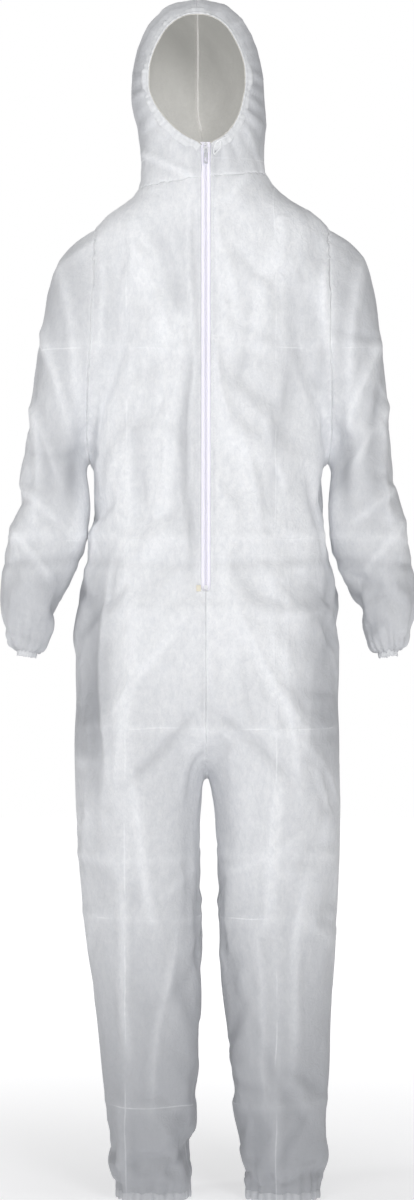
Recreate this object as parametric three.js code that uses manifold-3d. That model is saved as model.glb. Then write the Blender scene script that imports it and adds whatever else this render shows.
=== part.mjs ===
// Disposable hooded coverall, standing as if worn, arms hanging a little out from the sides.
// Millimetres, +Z up, the front faces -Y and the wearer's left is +X.
// Heights are measured up from the ankle hems. The last group lowers everything so that the
// origin lies between the wearer's shoulders, which is what carries the garment.

import * as THREE from "three";
import { mergeVertices } from "three/addons/utils/BufferGeometryUtils.js";
import Module from "manifold-3d";

// ---- Driving sizes
const SUIT_HEIGHT = 1763; // ankle hem to crown of the hood
const CHEST_WIDTH = 344; // between the two armhole seams
const CLOTH = 2.4; // wall that stands for the thin cloth
const GAP = 0.3; // left between sewn neighbours
const HEM_WALL = 4.6; // folded cloth with the elastic inside
const HEM_SKIN = 1.2; // outer layer of a hem
const HEM_WIDTH = 14;
const FACE_HEM_WIDTH = 12;
const BAND_WIDTH = 8; // elastic in the wrist and ankle hems
const FACE_BAND_WIDTH = 6;
const ELASTIC = 1.4; // thickness of every elastic band
const WAIST_CASING_HEIGHT = 16;
const WAIST_BAND_WIDTH = 9.4;
const WAIST_CASING_LENGTH = 240; // measured straight across
const SLOT_WIDTH = 10; // strip of zip left open between the two fronts
const TAPE_WIDTH = 11;
const TAPE_THICKNESS = 0.6;
const CHAIN_GAP = 1.2; // between the two rows of teeth
const CHAIN_WIDTH = 2.2;
const CHAIN_THICKNESS = 2;
const SLIDER_WIDTH = 9;
const SLIDER_LENGTH = 11;
const SLIDER_PLATE = 1.3;
const SLIDER_BACK_PLATE = 1;
const PULL_LENGTH = 21;
const PIN_RADIUS = 0.7;

// The station lists below are for the standard size, and these two stretch them to the size above.
const UP = SUIT_HEIGHT / 1763;
const OUT = CHEST_WIDTH / 344;

// ---- Heights
const KNEE = 460 * UP;
const WAIST = 1035 * UP;
const NECK_SEAM = 1495 * UP;
const ZIP_BOTTOM = 895 * UP;
const ZIP_TOP = 1547 * UP;
const ORIGIN_HEIGHT = 1430 * UP;
const CROTCH = 655 * UP;
const LEG_LEAN = 18 * OUT; // both legs hang this far to +X at the ankle

// ---- Colours
const CLOTH_WHITE = 0xe9ecef;
const ELASTIC_WHITE = 0xd8d6cf;
const ZIP_WHITE = 0xe7e6f2;
const PULL_WHITE = 0xeeeef2;

// Trunk, neck and hood: height, half width, front and back.
const TRUNK = [
  [655, 60, -60, 62],
  [680, 140, -112, 114],
  [715, 184, -130, 130],
  [750, 195, -135, 135],
  [800, 195, -139, 138],
  [875, 187, -141.7, 135],
  [895, 184, -140, 133],
  [965, 174, -134.1, 120],
  [1035, 165, -128.2, 108],
  [1105, 172, -122.3, 119],
  [1190, 173, -115.1, 130],
  [1290, 172, -106.7, 131],
  [1375, 172, -99.5, 118],
  [1418, 174, -95.9, 102],
  [1441, 161, -93.9, 90],
  [1457, 137, -92.6, 82],
  [1475, 110, -91.1, 76],
  [1495, 95, -89.4, 72],
  [1520, 90, -87.3, 73],
  [1547, 91, -85, 80],
  [1582, 95, -93, 102],
  [1618, 98, -100, 116],
  [1655, 96.5, -102, 122],
  [1688, 90, -98, 118],
  [1716, 79, -88, 104],
  [1737, 66, -74, 86],
  [1753, 48, -54, 62],
  [1763, 22, -25, 30],
];

// One leg, from below the ankle hem to inside the trunk: height, inner and outer x, front and back.
const LEG = [
  [-20, 50, 138, -44, 48],
  [22, 39, 151, -53, 59],
  [60, 34, 157, -62, 72],
  [173, 24, 162, -73, 84],
  [291, 18, 168, -80, 92],
  [400, 15, 184, -88, 93],
  [460, 15, 189, -94, 92],
  [560, 14, 194, -112, 110],
  [645, 4, 196, -127, 125],
  [700, -6, 196, -133, 131],
  [745, -15, 190, -127, 126],
];

// One sleeve, from below the wrist hem to inside the trunk:
// outer x and height, inner x and height, half the depth, and the middle of that depth.
const SLEEVE = [
  [304, 804, 231, 793, 30, -14],
  [304, 827, 228, 816, 32, -13],
  [305, 856, 221, 844, 39, -12],
  [303, 905, 208, 892, 50, -8],
  [298, 972, 186, 956, 58, -4],
  [289, 1028, 177, 1008, 62, 0],
  [278, 1105, 180, 1046, 64, 3],
  [265, 1195, 184, 1080, 67, 6],
  [251, 1280, 187, 1102, 70, 6],
  [239, 1345, 188, 1116, 73, 6],
  [225, 1385, 186, 1126, 76, 6],
  [200, 1412, 180, 1133, 80, 6],
  [140, 1436, 140, 1140, 84, 4],
];

// Face opening, right half from the top down: half width and height.
const FACE = [
  [0, 1735],
  [38, 1721],
  [59, 1690],
  [72, 1645],
  [67, 1608],
  [46, 1569],
  [26, 1551],
  [0, 1543],
];
const FACE_HALF_WIDTH = 72;
const FACE_HALF_HEIGHT = 96;
const FACE_MIDDLE = 1639;

// Sleeve stations that the wrist hem ends at and that the elbow bends at.
const WRIST = 1;
const ELBOW = 4;

const TRUNK_SIDES = 28;
const LEG_SIDES = 16;
const SLEEVE_SIDES = 16;
const TRUNK_SQUARENESS = 2.4;
const LEG_SQUARENESS = 2.2;
const SLEEVE_SQUARENESS = 2.1;
const FAR = 2500; // larger than the garment in every direction

const wasm = await Module();
wasm.setup();

// ---- Solids

function solidOf(geometry) {
  const bare = geometry.index ? geometry.toNonIndexed() : geometry.clone();
  bare.deleteAttribute("normal");
  bare.deleteAttribute("uv");
  const merged = mergeVertices(bare, 1e-4);
  return new wasm.Manifold(
    new wasm.Mesh({
      numProp: 3,
      vertProperties: new Float32Array(merged.attributes.position.array),
      triVerts: new Uint32Array(merged.index.array),
    }),
  );
}

function addMesh(parent, name, solid, colour, roughness = 0.85, metalness = 0) {
  const mesh = solid.getMesh();
  const geometry = new THREE.BufferGeometry();
  geometry.setAttribute("position", new THREE.BufferAttribute(mesh.vertProperties, 3));
  geometry.setIndex(new THREE.BufferAttribute(mesh.triVerts, 1));
  geometry.computeVertexNormals();
  const material = new THREE.MeshStandardMaterial({ color: colour, roughness, metalness });
  const part = new THREE.Mesh(geometry, material);
  part.name = name;
  parent.add(part);
}

function box(x0, x1, y0, y1, z0, z1) {
  const geometry = new THREE.BoxGeometry(x1 - x0, y1 - y0, z1 - z0);
  geometry.translate((x0 + x1) / 2, (y0 + y1) / 2, (z0 + z1) / 2);
  return solidOf(geometry);
}

// Everything on the upper side of a plane through a point, as a large block.
function above(point, normal) {
  const geometry = new THREE.BoxGeometry(FAR, FAR, FAR);
  geometry.translate(0, 0, FAR / 2);
  const turn = new THREE.Quaternion().setFromUnitVectors(new THREE.Vector3(0, 0, 1), normal);
  geometry.applyQuaternion(turn);
  geometry.translate(point.x, point.y, point.z);
  return solidOf(geometry);
}

// A prism that runs front to back, from an outline of [x, z] points.
function prism(outline, y0, y1) {
  const shape = new THREE.Shape(outline.map(([x, z]) => new THREE.Vector2(x, z)));
  const geometry = new THREE.ExtrudeGeometry(shape, { depth: y1 - y0, bevelEnabled: false });
  geometry.rotateX(Math.PI / 2);
  geometry.translate(0, y1, 0);
  return solidOf(geometry);
}

// A closed skin through rings of equally many points, listed from the bottom up.
function loft(rings) {
  const sides = rings[0].length;
  const points = rings.flat();
  const faces = [];
  for (let r = 0; r + 1 < rings.length; r += 1) {
    for (let i = 0; i < sides; i += 1) {
      const a = r * sides + i;
      const b = r * sides + ((i + 1) % sides);
      faces.push(a, b, b + sides, a, b + sides, a + sides);
    }
  }
  const last = (rings.length - 1) * sides;
  for (let i = 1; i + 1 < sides; i += 1) {
    faces.push(0, i + 1, i);
    faces.push(last, last + i, last + i + 1);
  }
  const geometry = new THREE.BufferGeometry().setFromPoints(points);
  geometry.setIndex(faces);
  return solidOf(geometry);
}

// An oval ring with a flat at front, back and both sides. across and deep are its half axes.
function oval(middle, across, deep, sides, squareness) {
  const ring = [];
  const flat = Math.cos(Math.PI / sides) ** (2 / squareness);
  for (let i = 0; i < sides; i += 1) {
    const angle = ((i + 0.5) * 2 * Math.PI) / sides;
    const c = Math.cos(angle);
    const s = Math.sin(angle);
    const u = (Math.sign(c) * Math.abs(c) ** (2 / squareness)) / flat;
    const v = (Math.sign(s) * Math.abs(s) ** (2 / squareness)) / flat;
    ring.push(middle.clone().addScaledVector(across, u).addScaledVector(deep, v));
  }
  return ring;
}

// The trunk with its skin moved inwards by depth.
function trunk(depth) {
  const top = TRUNK.length - 1;
  const rings = TRUNK.map(([z, half, front, back], i) => {
    let height = z * UP;
    if (i === 0) height += depth;
    if (i === top) height -= depth;
    const middle = new THREE.Vector3(0, ((front + back) / 2) * OUT, height);
    const across = new THREE.Vector3(half * OUT - depth, 0, 0);
    const deep = new THREE.Vector3(0, ((back - front) / 2) * OUT - depth, 0);
    return oval(middle, across, deep, TRUNK_SIDES, TRUNK_SQUARENESS);
  });
  return loft(rings);
}

// side is 1 for the wearer's left and -1 for the wearer's right.
function leg(side, depth) {
  const rings = LEG.map(([z, inner, outer, front, back]) => {
    const lean = LEG_LEAN * Math.max(0, 1 - (z * UP) / CROTCH);
    const x = ((side * (inner + outer)) / 2) * OUT + lean;
    const middle = new THREE.Vector3(x, ((front + back) / 2) * OUT, z * UP);
    const across = new THREE.Vector3(((outer - inner) / 2) * OUT - depth, 0, 0);
    const deep = new THREE.Vector3(0, ((back - front) / 2) * OUT - depth, 0);
    return oval(middle, across, deep, LEG_SIDES, LEG_SQUARENESS);
  });
  return loft(rings);
}

function sleeveStation(side, row) {
  const [outerX, outerZ, innerX, innerZ, half, middleY] = SLEEVE[row];
  const outer = new THREE.Vector3(side * outerX * OUT, middleY * OUT, outerZ * UP);
  const inner = new THREE.Vector3(side * innerX * OUT, middleY * OUT, innerZ * UP);
  return { outer, inner, half: half * OUT, middle: outer.clone().lerp(inner, 0.5) };
}

function sleeve(side, depth) {
  const rings = SLEEVE.map((_, row) => {
    const { outer, inner, half, middle } = sleeveStation(side, row);
    const reach = outer.distanceTo(inner) / 2 - depth;
    const across = outer.clone().sub(inner).normalize().multiplyScalar(reach * side);
    const deep = new THREE.Vector3(0, half - depth, 0);
    return oval(middle, across, deep, SLEEVE_SIDES, SLEEVE_SQUARENESS);
  });
  return loft(rings);
}

// The whole garment as one solid with its skin moved inwards by depth.
function body(depth) {
  return trunk(depth)
    .add(leg(1, depth))
    .add(leg(-1, depth))
    .add(sleeve(1, depth))
    .add(sleeve(-1, depth));
}

// ---- Cuts

const grow = (width) => (FACE_HALF_WIDTH + width) / FACE_HALF_WIDTH;
const growUp = (width) => (FACE_HALF_HEIGHT + width) / FACE_HALF_HEIGHT;

// The face opening widened all round, as a prism through the front of the hood.
function face(width) {
  const right = FACE.map(([x, z]) => {
    const height = FACE_MIDDLE * UP + (z - FACE_MIDDLE) * UP * growUp(width);
    return new THREE.Vector3(x * OUT * grow(width), 0, height);
  });
  const left = right.slice(1, -1).reverse();
  const ring = right.concat(left.map((p) => new THREE.Vector3(-p.x, 0, p.z)));
  const curve = new THREE.CatmullRomCurve3(ring, true);
  const outline = curve.getPoints(20).slice(0, -1);
  return prism(outline.map((p) => [p.x, p.z]).reverse(), -FAR / 2, -20);
}

// Region outside an armhole seam. shift moves the seam outwards.
function outsideArmhole(side, shift) {
  const seam = [
    [171, 1600],
    [171, 1428],
    [181, 1132],
    [178, 1085],
    [171, 1028],
    [180, 965],
    [196, 895],
    [208, 800],
    [208, 700],
  ];
  const line = seam.map(([x, z]) => [side * (x * OUT + shift), z * UP]);
  const outline = line.concat([
    [side * 600 * OUT, 700 * UP],
    [side * 600 * OUT, 1600 * UP],
  ]);
  if (side > 0) outline.reverse();
  return prism(outline, -FAR / 2, FAR / 2);
}

// Region nearer the hand than a sleeve station, moved along the arm by shift.
function beyondStation(side, row, shift) {
  const { outer, inner, middle } = sleeveStation(side, row);
  const across = outer.clone().sub(inner).normalize().multiplyScalar(side);
  const down = new THREE.Vector3(0, 1, 0).cross(across).negate();
  if (down.z > 0) down.negate();
  return above(middle.clone().addScaledVector(down, shift), down);
}

const NAPE = new THREE.Vector3(0, 73 * OUT, 1508 * UP);
const HOOD_FRONT = new THREE.Vector3(0, -86 * OUT, 1553 * UP);
const hoodNormal = new THREE.Vector3(1, 0, 0).cross(NAPE.clone().sub(HOOD_FRONT)).normalize();
const aboveHinge = (shift) => above(NAPE.clone().addScaledVector(hoodNormal, shift), hoodNormal);

// ---- The zip's own straight frame: its y runs into the body, its z up along the teeth

const zipFrame = new THREE.Group();
const ZIP_RISE = ZIP_TOP - ZIP_BOTTOM;
const ZIP_SWEEP = 55 * OUT;
const ZIP_LENGTH = Math.hypot(ZIP_RISE, ZIP_SWEEP);
zipFrame.position.set(0, -85 * OUT, ZIP_TOP);
zipFrame.rotation.x = -Math.atan2(ZIP_SWEEP, ZIP_RISE);
zipFrame.updateMatrix();

function zipSlot() {
  const geometry = new THREE.BoxGeometry(SLOT_WIDTH, 30, ZIP_LENGTH + 20);
  geometry.translate(0, 0, 10 - ZIP_LENGTH / 2);
  geometry.applyMatrix4(zipFrame.matrix);
  return solidOf(geometry);
}

// ---- Cloth panels

const group = new THREE.Group();
const suit = new THREE.Group();
suit.name = "coverall";
suit.position.z = -ORIGIN_HEIGHT;
group.add(suit);

const half = GAP / 2;
const shell = body(0).subtract(body(CLOTH)).subtract(zipSlot());
const sides = [
  ["left", 1],
  ["right", -1],
];

function halfSpaceX(side) {
  if (side > 0) return box(half, FAR, -FAR, FAR, -FAR, FAR);
  return box(-FAR, -half, -FAR, FAR, -FAR, FAR);
}

for (const [word, side] of sides) {
  const flank = shell.intersect(halfSpaceX(side));
  const trunkPart = flank.subtract(outsideArmhole(side, -half));
  const frontUpper = box(-FAR, FAR, -FAR, -half, KNEE + half, NECK_SEAM - half);
  const backUpper = box(-FAR, FAR, half, FAR, KNEE + half, NECK_SEAM - half);
  const frontLower = box(-FAR, FAR, -FAR, -half, HEM_WIDTH + half, KNEE - half);
  const backLower = box(-FAR, FAR, half, FAR, HEM_WIDTH + half, KNEE - half);
  addMesh(suit, "front_panel_" + word, trunkPart.intersect(frontUpper), CLOTH_WHITE);
  addMesh(suit, "back_panel_" + word, trunkPart.intersect(backUpper), CLOTH_WHITE);
  addMesh(suit, "shin_front_" + word, flank.intersect(frontLower), CLOTH_WHITE);
  addMesh(suit, "shin_back_" + word, flank.intersect(backLower), CLOTH_WHITE);

  const arm = flank.intersect(outsideArmhole(side, half));
  const upperArm = arm.subtract(beyondStation(side, ELBOW, -half));
  const forearm = arm.intersect(beyondStation(side, ELBOW, half));
  const wristEdge = beyondStation(side, WRIST, -HEM_WIDTH - half);
  addMesh(suit, "sleeve_upper_" + word, upperArm, CLOTH_WHITE);
  addMesh(suit, "sleeve_lower_" + word, forearm.subtract(wristEdge), CLOTH_WHITE);

  const head = flank.subtract(box(-FAR, FAR, -FAR, FAR, -FAR, NECK_SEAM + half));
  const collar = head.subtract(aboveHinge(-half)).subtract(face(0));
  const hood = head.intersect(aboveHinge(half)).subtract(face(FACE_HEM_WIDTH + GAP));
  addMesh(suit, "hood_collar_" + word, collar, CLOTH_WHITE);
  addMesh(suit, "hood_" + word, hood, CLOTH_WHITE);
}

// ---- Hems, each a channel open on its inner side, and the elastic that lies in it

const bandLow = (HEM_WIDTH - BAND_WIDTH) / 2;
for (const [word, side] of sides) {
  const ankle = leg(side, 0).subtract(leg(side, HEM_WALL));
  const ankleRing = ankle.intersect(box(-FAR, FAR, -FAR, FAR, 0, HEM_WIDTH));
  const ankleChannel = leg(side, HEM_SKIN).intersect(
    box(-FAR, FAR, -FAR, FAR, bandLow - GAP, HEM_WIDTH - bandLow + GAP),
  );
  addMesh(suit, "ankle_hem_" + word, ankleRing.subtract(ankleChannel), CLOTH_WHITE);
  const ankleBand = leg(side, HEM_SKIN + GAP)
    .subtract(leg(side, HEM_SKIN + GAP + ELASTIC))
    .intersect(box(-FAR, FAR, -FAR, FAR, bandLow, HEM_WIDTH - bandLow));
  addMesh(suit, "ankle_elastic_" + word, ankleBand, ELASTIC_WHITE, 0.7);

  const alongWrist = (from, to) =>
    beyondStation(side, WRIST, from - HEM_WIDTH).subtract(beyondStation(side, WRIST, to - HEM_WIDTH));
  const wrist = sleeve(side, 0).subtract(sleeve(side, HEM_WALL));
  const wristRing = wrist.intersect(alongWrist(half, HEM_WIDTH));
  const wristChannel = sleeve(side, HEM_SKIN).intersect(
    alongWrist(bandLow - GAP, HEM_WIDTH - bandLow + GAP),
  );
  addMesh(suit, "wrist_hem_" + word, wristRing.subtract(wristChannel), CLOTH_WHITE);
  const wristBand = sleeve(side, HEM_SKIN + GAP)
    .subtract(sleeve(side, HEM_SKIN + GAP + ELASTIC))
    .intersect(alongWrist(bandLow, HEM_WIDTH - bandLow));
  addMesh(suit, "wrist_elastic_" + word, wristBand, ELASTIC_WHITE, 0.7);
}

const faceRing = face(FACE_HEM_WIDTH).subtract(face(0)).intersect(aboveHinge(half));
const faceLow = (FACE_HEM_WIDTH - FACE_BAND_WIDTH) / 2;
const faceHigh = FACE_HEM_WIDTH - faceLow;
const faceBand = face(faceHigh).subtract(face(faceLow)).intersect(aboveHinge(half));
const faceChannel = face(faceHigh + GAP).subtract(face(faceLow - GAP));
const faceHem = trunk(0)
  .subtract(trunk(HEM_WALL))
  .intersect(faceRing)
  .subtract(trunk(HEM_SKIN).intersect(faceChannel));
addMesh(suit, "face_hem", faceHem, CLOTH_WHITE);
const faceElastic = trunk(HEM_SKIN + GAP).subtract(trunk(HEM_SKIN + GAP + ELASTIC));
addMesh(suit, "face_elastic", faceElastic.intersect(faceBand), ELASTIC_WHITE, 0.7);

// ---- Back waist: a casing strip sewn inside the two back panels, its channel turned outwards

const waistReach = WAIST_CASING_LENGTH / 2;
const waistRim = (WAIST_CASING_HEIGHT - WAIST_BAND_WIDTH) / 2;
const waistDepth = CLOTH + 2 * GAP;

// The back half of the trunk's skin between two depths, within reach of the middle and near the waist.
function waistBand(from, to, reach, tall) {
  const skin = trunk(from).subtract(trunk(to));
  return skin.intersect(box(-reach, reach, 20, FAR, WAIST - tall / 2, WAIST + tall / 2));
}

const waistStrip = waistBand(
  CLOTH + GAP,
  CLOTH + GAP + HEM_WALL,
  waistReach,
  WAIST_CASING_HEIGHT,
);
const waistChannel = waistBand(
  0,
  waistDepth + ELASTIC + GAP,
  waistReach - waistRim,
  WAIST_BAND_WIDTH + 2 * GAP,
);
addMesh(suit, "waist_casing", waistStrip.subtract(waistChannel), CLOTH_WHITE);
const waistElastic = waistBand(
  waistDepth,
  waistDepth + ELASTIC,
  waistReach - waistRim - GAP,
  WAIST_BAND_WIDTH,
);
addMesh(suit, "waist_elastic", waistElastic, ELASTIC_WHITE, 0.7);

// ---- Zip, in its own frame

suit.add(zipFrame);
const tapeFront = CLOTH + GAP;
const tapeBack = tapeFront + TAPE_THICKNESS;
const chainFront = tapeFront - GAP - CHAIN_THICKNESS;
const chainEnd = -ZIP_LENGTH + 8;
for (const [word, side] of sides) {
  const near = CHAIN_GAP / 2;
  const span = (from, to) => (side > 0 ? [from, to] : [-to, -from]);
  const tape = box(...span(near, near + TAPE_WIDTH), tapeFront, tapeBack, -ZIP_LENGTH - 12, -1);
  addMesh(zipFrame, "zip_tape_" + word, tape, ZIP_WHITE, 0.8);
  const chainY = [chainFront, chainFront + CHAIN_THICKNESS];
  const chain = box(...span(near, near + CHAIN_WIDTH), ...chainY, chainEnd, -7);
  addMesh(zipFrame, "zip_chain_" + word, chain, ZIP_WHITE, 0.4);
  const stop = box(...span(near, near + CHAIN_WIDTH + 0.4), ...chainY, -7 + GAP, -3);
  addMesh(zipFrame, "zip_top_stop_" + word, stop, ZIP_WHITE, 0.4);
}
const stopLow = -ZIP_LENGTH + 2 * GAP;
const bottomStop = box(-3.4, 3.4, chainFront, tapeFront - GAP, stopLow, chainEnd - GAP);
addMesh(zipFrame, "zip_bottom_stop", bottomStop, ZIP_WHITE, 0.4);

// The slider: two plates joined by a thin web that runs between the rows of teeth,
// with a pair of ears and a pin for the pull.
const sliderTop = -8;
const sliderLow = sliderTop - SLIDER_LENGTH;
const plateBack = chainFront - GAP;
const plateFront = plateBack - SLIDER_PLATE;
const halfSlider = SLIDER_WIDTH / 2;
const web = CHAIN_GAP / 2 - GAP;
const pinY = plateFront - 1.6;
const pinZ = sliderTop - 5;
let slider = box(-halfSlider, halfSlider, plateFront, plateBack, sliderLow, sliderTop);
const innerPlate = [tapeBack + GAP, tapeBack + GAP + SLIDER_BACK_PLATE];
slider = slider.add(box(-halfSlider, halfSlider, ...innerPlate, sliderLow, sliderTop));
slider = slider.add(
  box(-web, web, plateFront + 0.2, tapeBack + GAP + 0.2, sliderLow + 1, sliderTop - 1),
);
for (const side of [-1, 1]) {
  const ear = side > 0 ? [2, 3.2] : [-3.2, -2];
  slider = slider.add(box(...ear, pinY - 1.2, plateFront + 0.2, pinZ - 1.5, pinZ + 1.5));
}
const pin = new THREE.CylinderGeometry(PIN_RADIUS, PIN_RADIUS, 5, 12);
pin.rotateZ(Math.PI / 2);
pin.translate(0, pinY, pinZ);
slider = slider.add(solidOf(pin));
addMesh(zipFrame, "zip_slider", slider, PULL_WHITE, 0.35);

// The pull hangs from the pin by an eye.
const eye = new THREE.CylinderGeometry(1.3, 1.3, 3.2, 16);
eye.rotateZ(Math.PI / 2);
eye.translate(0, pinY, pinZ);
const bore = new THREE.CylinderGeometry(PIN_RADIUS + 0.15, PIN_RADIUS + 0.15, 8, 12);
bore.rotateZ(Math.PI / 2);
bore.translate(0, pinY, pinZ);
const neck = box(-1.6, 1.6, pinY - 0.6, pinY + 0.6, pinZ - 6, pinZ);
const blade = box(-3, 3, pinY - 0.6, pinY + 0.6, pinZ - PULL_LENGTH, pinZ - 5);
const grip = box(-1.5, 1.5, pinY - 5, pinY + 5, pinZ - PULL_LENGTH + 3, pinZ - PULL_LENGTH + 9);
const pull = solidOf(eye).add(neck).add(blade).subtract(grip).subtract(solidOf(bore));
addMesh(zipFrame, "zip_pull", pull, PULL_WHITE, 0.35);

export default group;
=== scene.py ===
import math

import bmesh
import bpy
import numpy as np
from mathutils import Matrix, Vector
from mathutils.bvhtree import BVHTree
from mathutils.kdtree import KDTree


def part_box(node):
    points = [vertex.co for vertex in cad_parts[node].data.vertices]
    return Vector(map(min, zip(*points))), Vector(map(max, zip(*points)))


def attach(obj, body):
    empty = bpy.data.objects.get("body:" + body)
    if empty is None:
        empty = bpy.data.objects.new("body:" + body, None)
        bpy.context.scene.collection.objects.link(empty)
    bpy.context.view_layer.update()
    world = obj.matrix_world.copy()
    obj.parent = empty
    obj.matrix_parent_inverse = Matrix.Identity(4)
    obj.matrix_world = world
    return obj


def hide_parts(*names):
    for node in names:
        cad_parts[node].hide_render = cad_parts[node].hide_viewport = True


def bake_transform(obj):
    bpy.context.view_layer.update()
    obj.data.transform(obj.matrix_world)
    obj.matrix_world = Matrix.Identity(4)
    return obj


# A disposable hooded coverall of spun-bonded cloth, hanging as if worn.
# The wearer's left is +X and the front is -Y. Sizes in the tables are in millimetres, with heights
# above the ankle hems; everything that is built is in metres, in the frame's own place.

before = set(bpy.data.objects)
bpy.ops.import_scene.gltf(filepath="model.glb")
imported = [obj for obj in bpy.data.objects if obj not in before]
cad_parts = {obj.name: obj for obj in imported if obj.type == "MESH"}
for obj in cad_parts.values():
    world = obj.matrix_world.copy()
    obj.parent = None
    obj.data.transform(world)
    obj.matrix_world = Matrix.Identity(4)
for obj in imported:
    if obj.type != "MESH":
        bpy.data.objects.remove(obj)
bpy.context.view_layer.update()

MM = 0.001
ANKLE_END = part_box("ankle_hem_left")[0][2]
LEFT, RIGHT = 1, -1
SIDES = {"left": LEFT, "right": RIGHT}
rng = np.random.default_rng(7)


def up(height):
    """A height above the ankle hems in mm, as the frame's z."""
    return ANKLE_END + height * MM


def place(x, y, height):
    """A point in the frame from mm and a height above the ankle hems."""
    return Vector((x * MM, y * MM, up(height)))


# ---- The cut of the garment

# Trunk, neck and hood: height, half width, front and back.
TRUNK = [
    (655, 60, -60, 62), (680, 140, -112, 114), (715, 184, -130, 130), (750, 195, -135, 135),
    (800, 195, -139, 138), (875, 187, -141.7, 135), (895, 184, -140, 133), (965, 174, -134.1, 120),
    (1035, 165, -128.2, 108), (1105, 172, -122.3, 119), (1190, 173, -115.1, 130),
    (1290, 172, -106.7, 131), (1375, 172, -99.5, 118), (1418, 174, -95.9, 102),
    (1441, 161, -93.9, 90), (1457, 137, -92.6, 82), (1475, 110, -91.1, 76), (1495, 95, -89.4, 72),
    (1520, 90, -87.3, 73), (1547, 91, -85, 80), (1582, 95, -93, 102), (1618, 98, -100, 116),
    (1655, 96.5, -102, 122), (1688, 90, -98, 118), (1716, 79, -88, 104), (1737, 66, -74, 86),
    (1753, 48, -54, 62), (1763, 22, -25, 30),
]
# One leg: height, inner and outer x, front and back.
LEG = [
    (-20, 50, 138, -44, 48), (22, 39, 151, -53, 59), (60, 34, 157, -62, 72),
    (173, 24, 162, -73, 84), (291, 18, 168, -80, 92), (400, 15, 184, -88, 93),
    (460, 15, 189, -94, 92), (560, 14, 194, -112, 110), (645, 4, 196, -127, 125),
    (700, -6, 196, -133, 131), (745, -15, 190, -127, 126),
]
# One sleeve: outer x and height, inner x and height, half the depth and its middle.
SLEEVE = [
    (304, 804, 231, 793, 30, -14), (304, 827, 228, 816, 32, -13), (305, 856, 221, 844, 39, -12),
    (303, 905, 208, 892, 50, -8), (298, 972, 186, 956, 58, -4), (289, 1028, 177, 1008, 62, 0),
    (278, 1105, 180, 1046, 64, 3), (265, 1195, 184, 1080, 67, 6), (251, 1280, 187, 1102, 70, 6),
    (239, 1345, 188, 1116, 73, 6), (225, 1385, 186, 1126, 76, 6), (200, 1412, 180, 1133, 80, 6),
    (140, 1436, 140, 1140, 84, 4),
]
# Face opening, from the top down: half width and height.
FACE = [(0, 1735), (38, 1721), (59, 1690), (72, 1645), (67, 1608), (46, 1569), (26, 1551), (0, 1543)]
FACE_MIDDLE = np.array([0.0, 1640.0])
# Armhole seam seen from the front: x and height.
ARMHOLE = [
    (171, 1600), (171, 1428), (181, 1132), (178, 1085), (171, 1028), (180, 965), (196, 895), (208, 700),
]
LEG_LEAN = 18
CROTCH = 655
NECK_SEAM = 1495
NECK_SLOPE = 0.11  # the neck seam sits a little higher on the wearer's left
WAIST = 1035
HEM_WIDTH = 14
FACE_HEM_WIDTH = 12
ZIP_BOTTOM = 895
ZIP_TOP = 1547
SLOT = 5  # half the strip of zip that shows between the two fronts
TAPE_FOLD = 14  # how far from the middle the fronts' folded edge ends
SEWN_AT = TAPE_FOLD - 2.6  # how far from the middle the fronts are sewn to the zip's tapes
CLOTH_THICK = 0.5
GRID = 8  # spacing of the cloth's mesh while it is draped
NEAR_SEAM = 24  # a seam's cut takes in the faces this near it
CHEST = -40  # the zip's cuts take in only faces nearer the front than this
SIDE_SEAM = 1  # how far behind the middle the side seams lie
SNAP = 2.6  # a point this near a seam is moved onto it
HOOD_FRONT = -20  # points nearer the front than this, and above HOOD_LOW, may lie at the face opening
HOOD_LOW = 1500
FAR = 1e3
ARM_ROOM = 22  # the sleeves are held this far from the trunk while the cloth is draped

# Panels, in the order of their numbers in the mesh.
PANELS = [
    "front_left", "front_right", "back_left", "back_right",
    "sleeve_left", "sleeve_right", "hood_half_left", "hood_half_right",
]


# ---- Mesh helpers


def smooth_rows(rows, count):
    """The rows run through a smooth curve and spaced evenly along it."""
    rows = np.array(rows, float)
    steps = np.linalg.norm(np.diff(rows, axis=0), axis=1)
    along = np.concatenate([[0], np.cumsum(steps)])
    slope = np.gradient(rows, along, axis=0)
    at = np.linspace(0, along[-1], count)
    k = np.clip(np.searchsorted(along, at, side="right") - 1, 0, len(rows) - 2)
    h = (along[k + 1] - along[k])[:, None]
    t = (at - along[k])[:, None] / h
    return (
        (2 * t**3 - 3 * t**2 + 1) * rows[k]
        + (t**3 - 2 * t**2 + t) * slope[k] * h
        + (3 * t**2 - 2 * t**3) * rows[k + 1]
        + (t**3 - t**2) * slope[k + 1] * h
    )


def smoothstep(low, high, x):
    t = np.clip((x - low) / (high - low), 0, 1)
    return t * t * (3 - 2 * t)


def by_height(rows, z):
    """The first column of the rows as a function of the second, a height."""
    table = sorted((r[1], r[0]) for r in rows)
    return np.interp(z, [t[0] for t in table], [t[1] for t in table])


def add_object(name, mesh):
    obj = bpy.data.objects.new(name, mesh)
    bpy.context.scene.collection.objects.link(obj)
    return obj


def make_object(name, points, faces):
    mesh = bpy.data.meshes.new(name)
    mesh.from_pydata([tuple(p) for p in points], [], faces)
    return add_object(name, mesh)


def flatten(obj):
    """Makes the object's modifiers part of its mesh."""
    graph = bpy.context.evaluated_depsgraph_get()
    mesh = bpy.data.meshes.new_from_object(obj.evaluated_get(graph))
    obj.modifiers.clear()
    old = obj.data
    obj.data = mesh
    bpy.data.meshes.remove(old)
    return obj


def points_of(obj):
    out = np.zeros(len(obj.data.vertices) * 3)
    obj.data.vertices.foreach_get("co", out)
    return out.reshape(-1, 3)


def set_points(obj, points):
    obj.data.vertices.foreach_set("co", points.ravel())
    obj.data.update()


def normals_of(obj):
    out = np.zeros(len(obj.data.vertices) * 3)
    obj.data.vertices.foreach_get("normal", out)
    return out.reshape(-1, 3)


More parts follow.
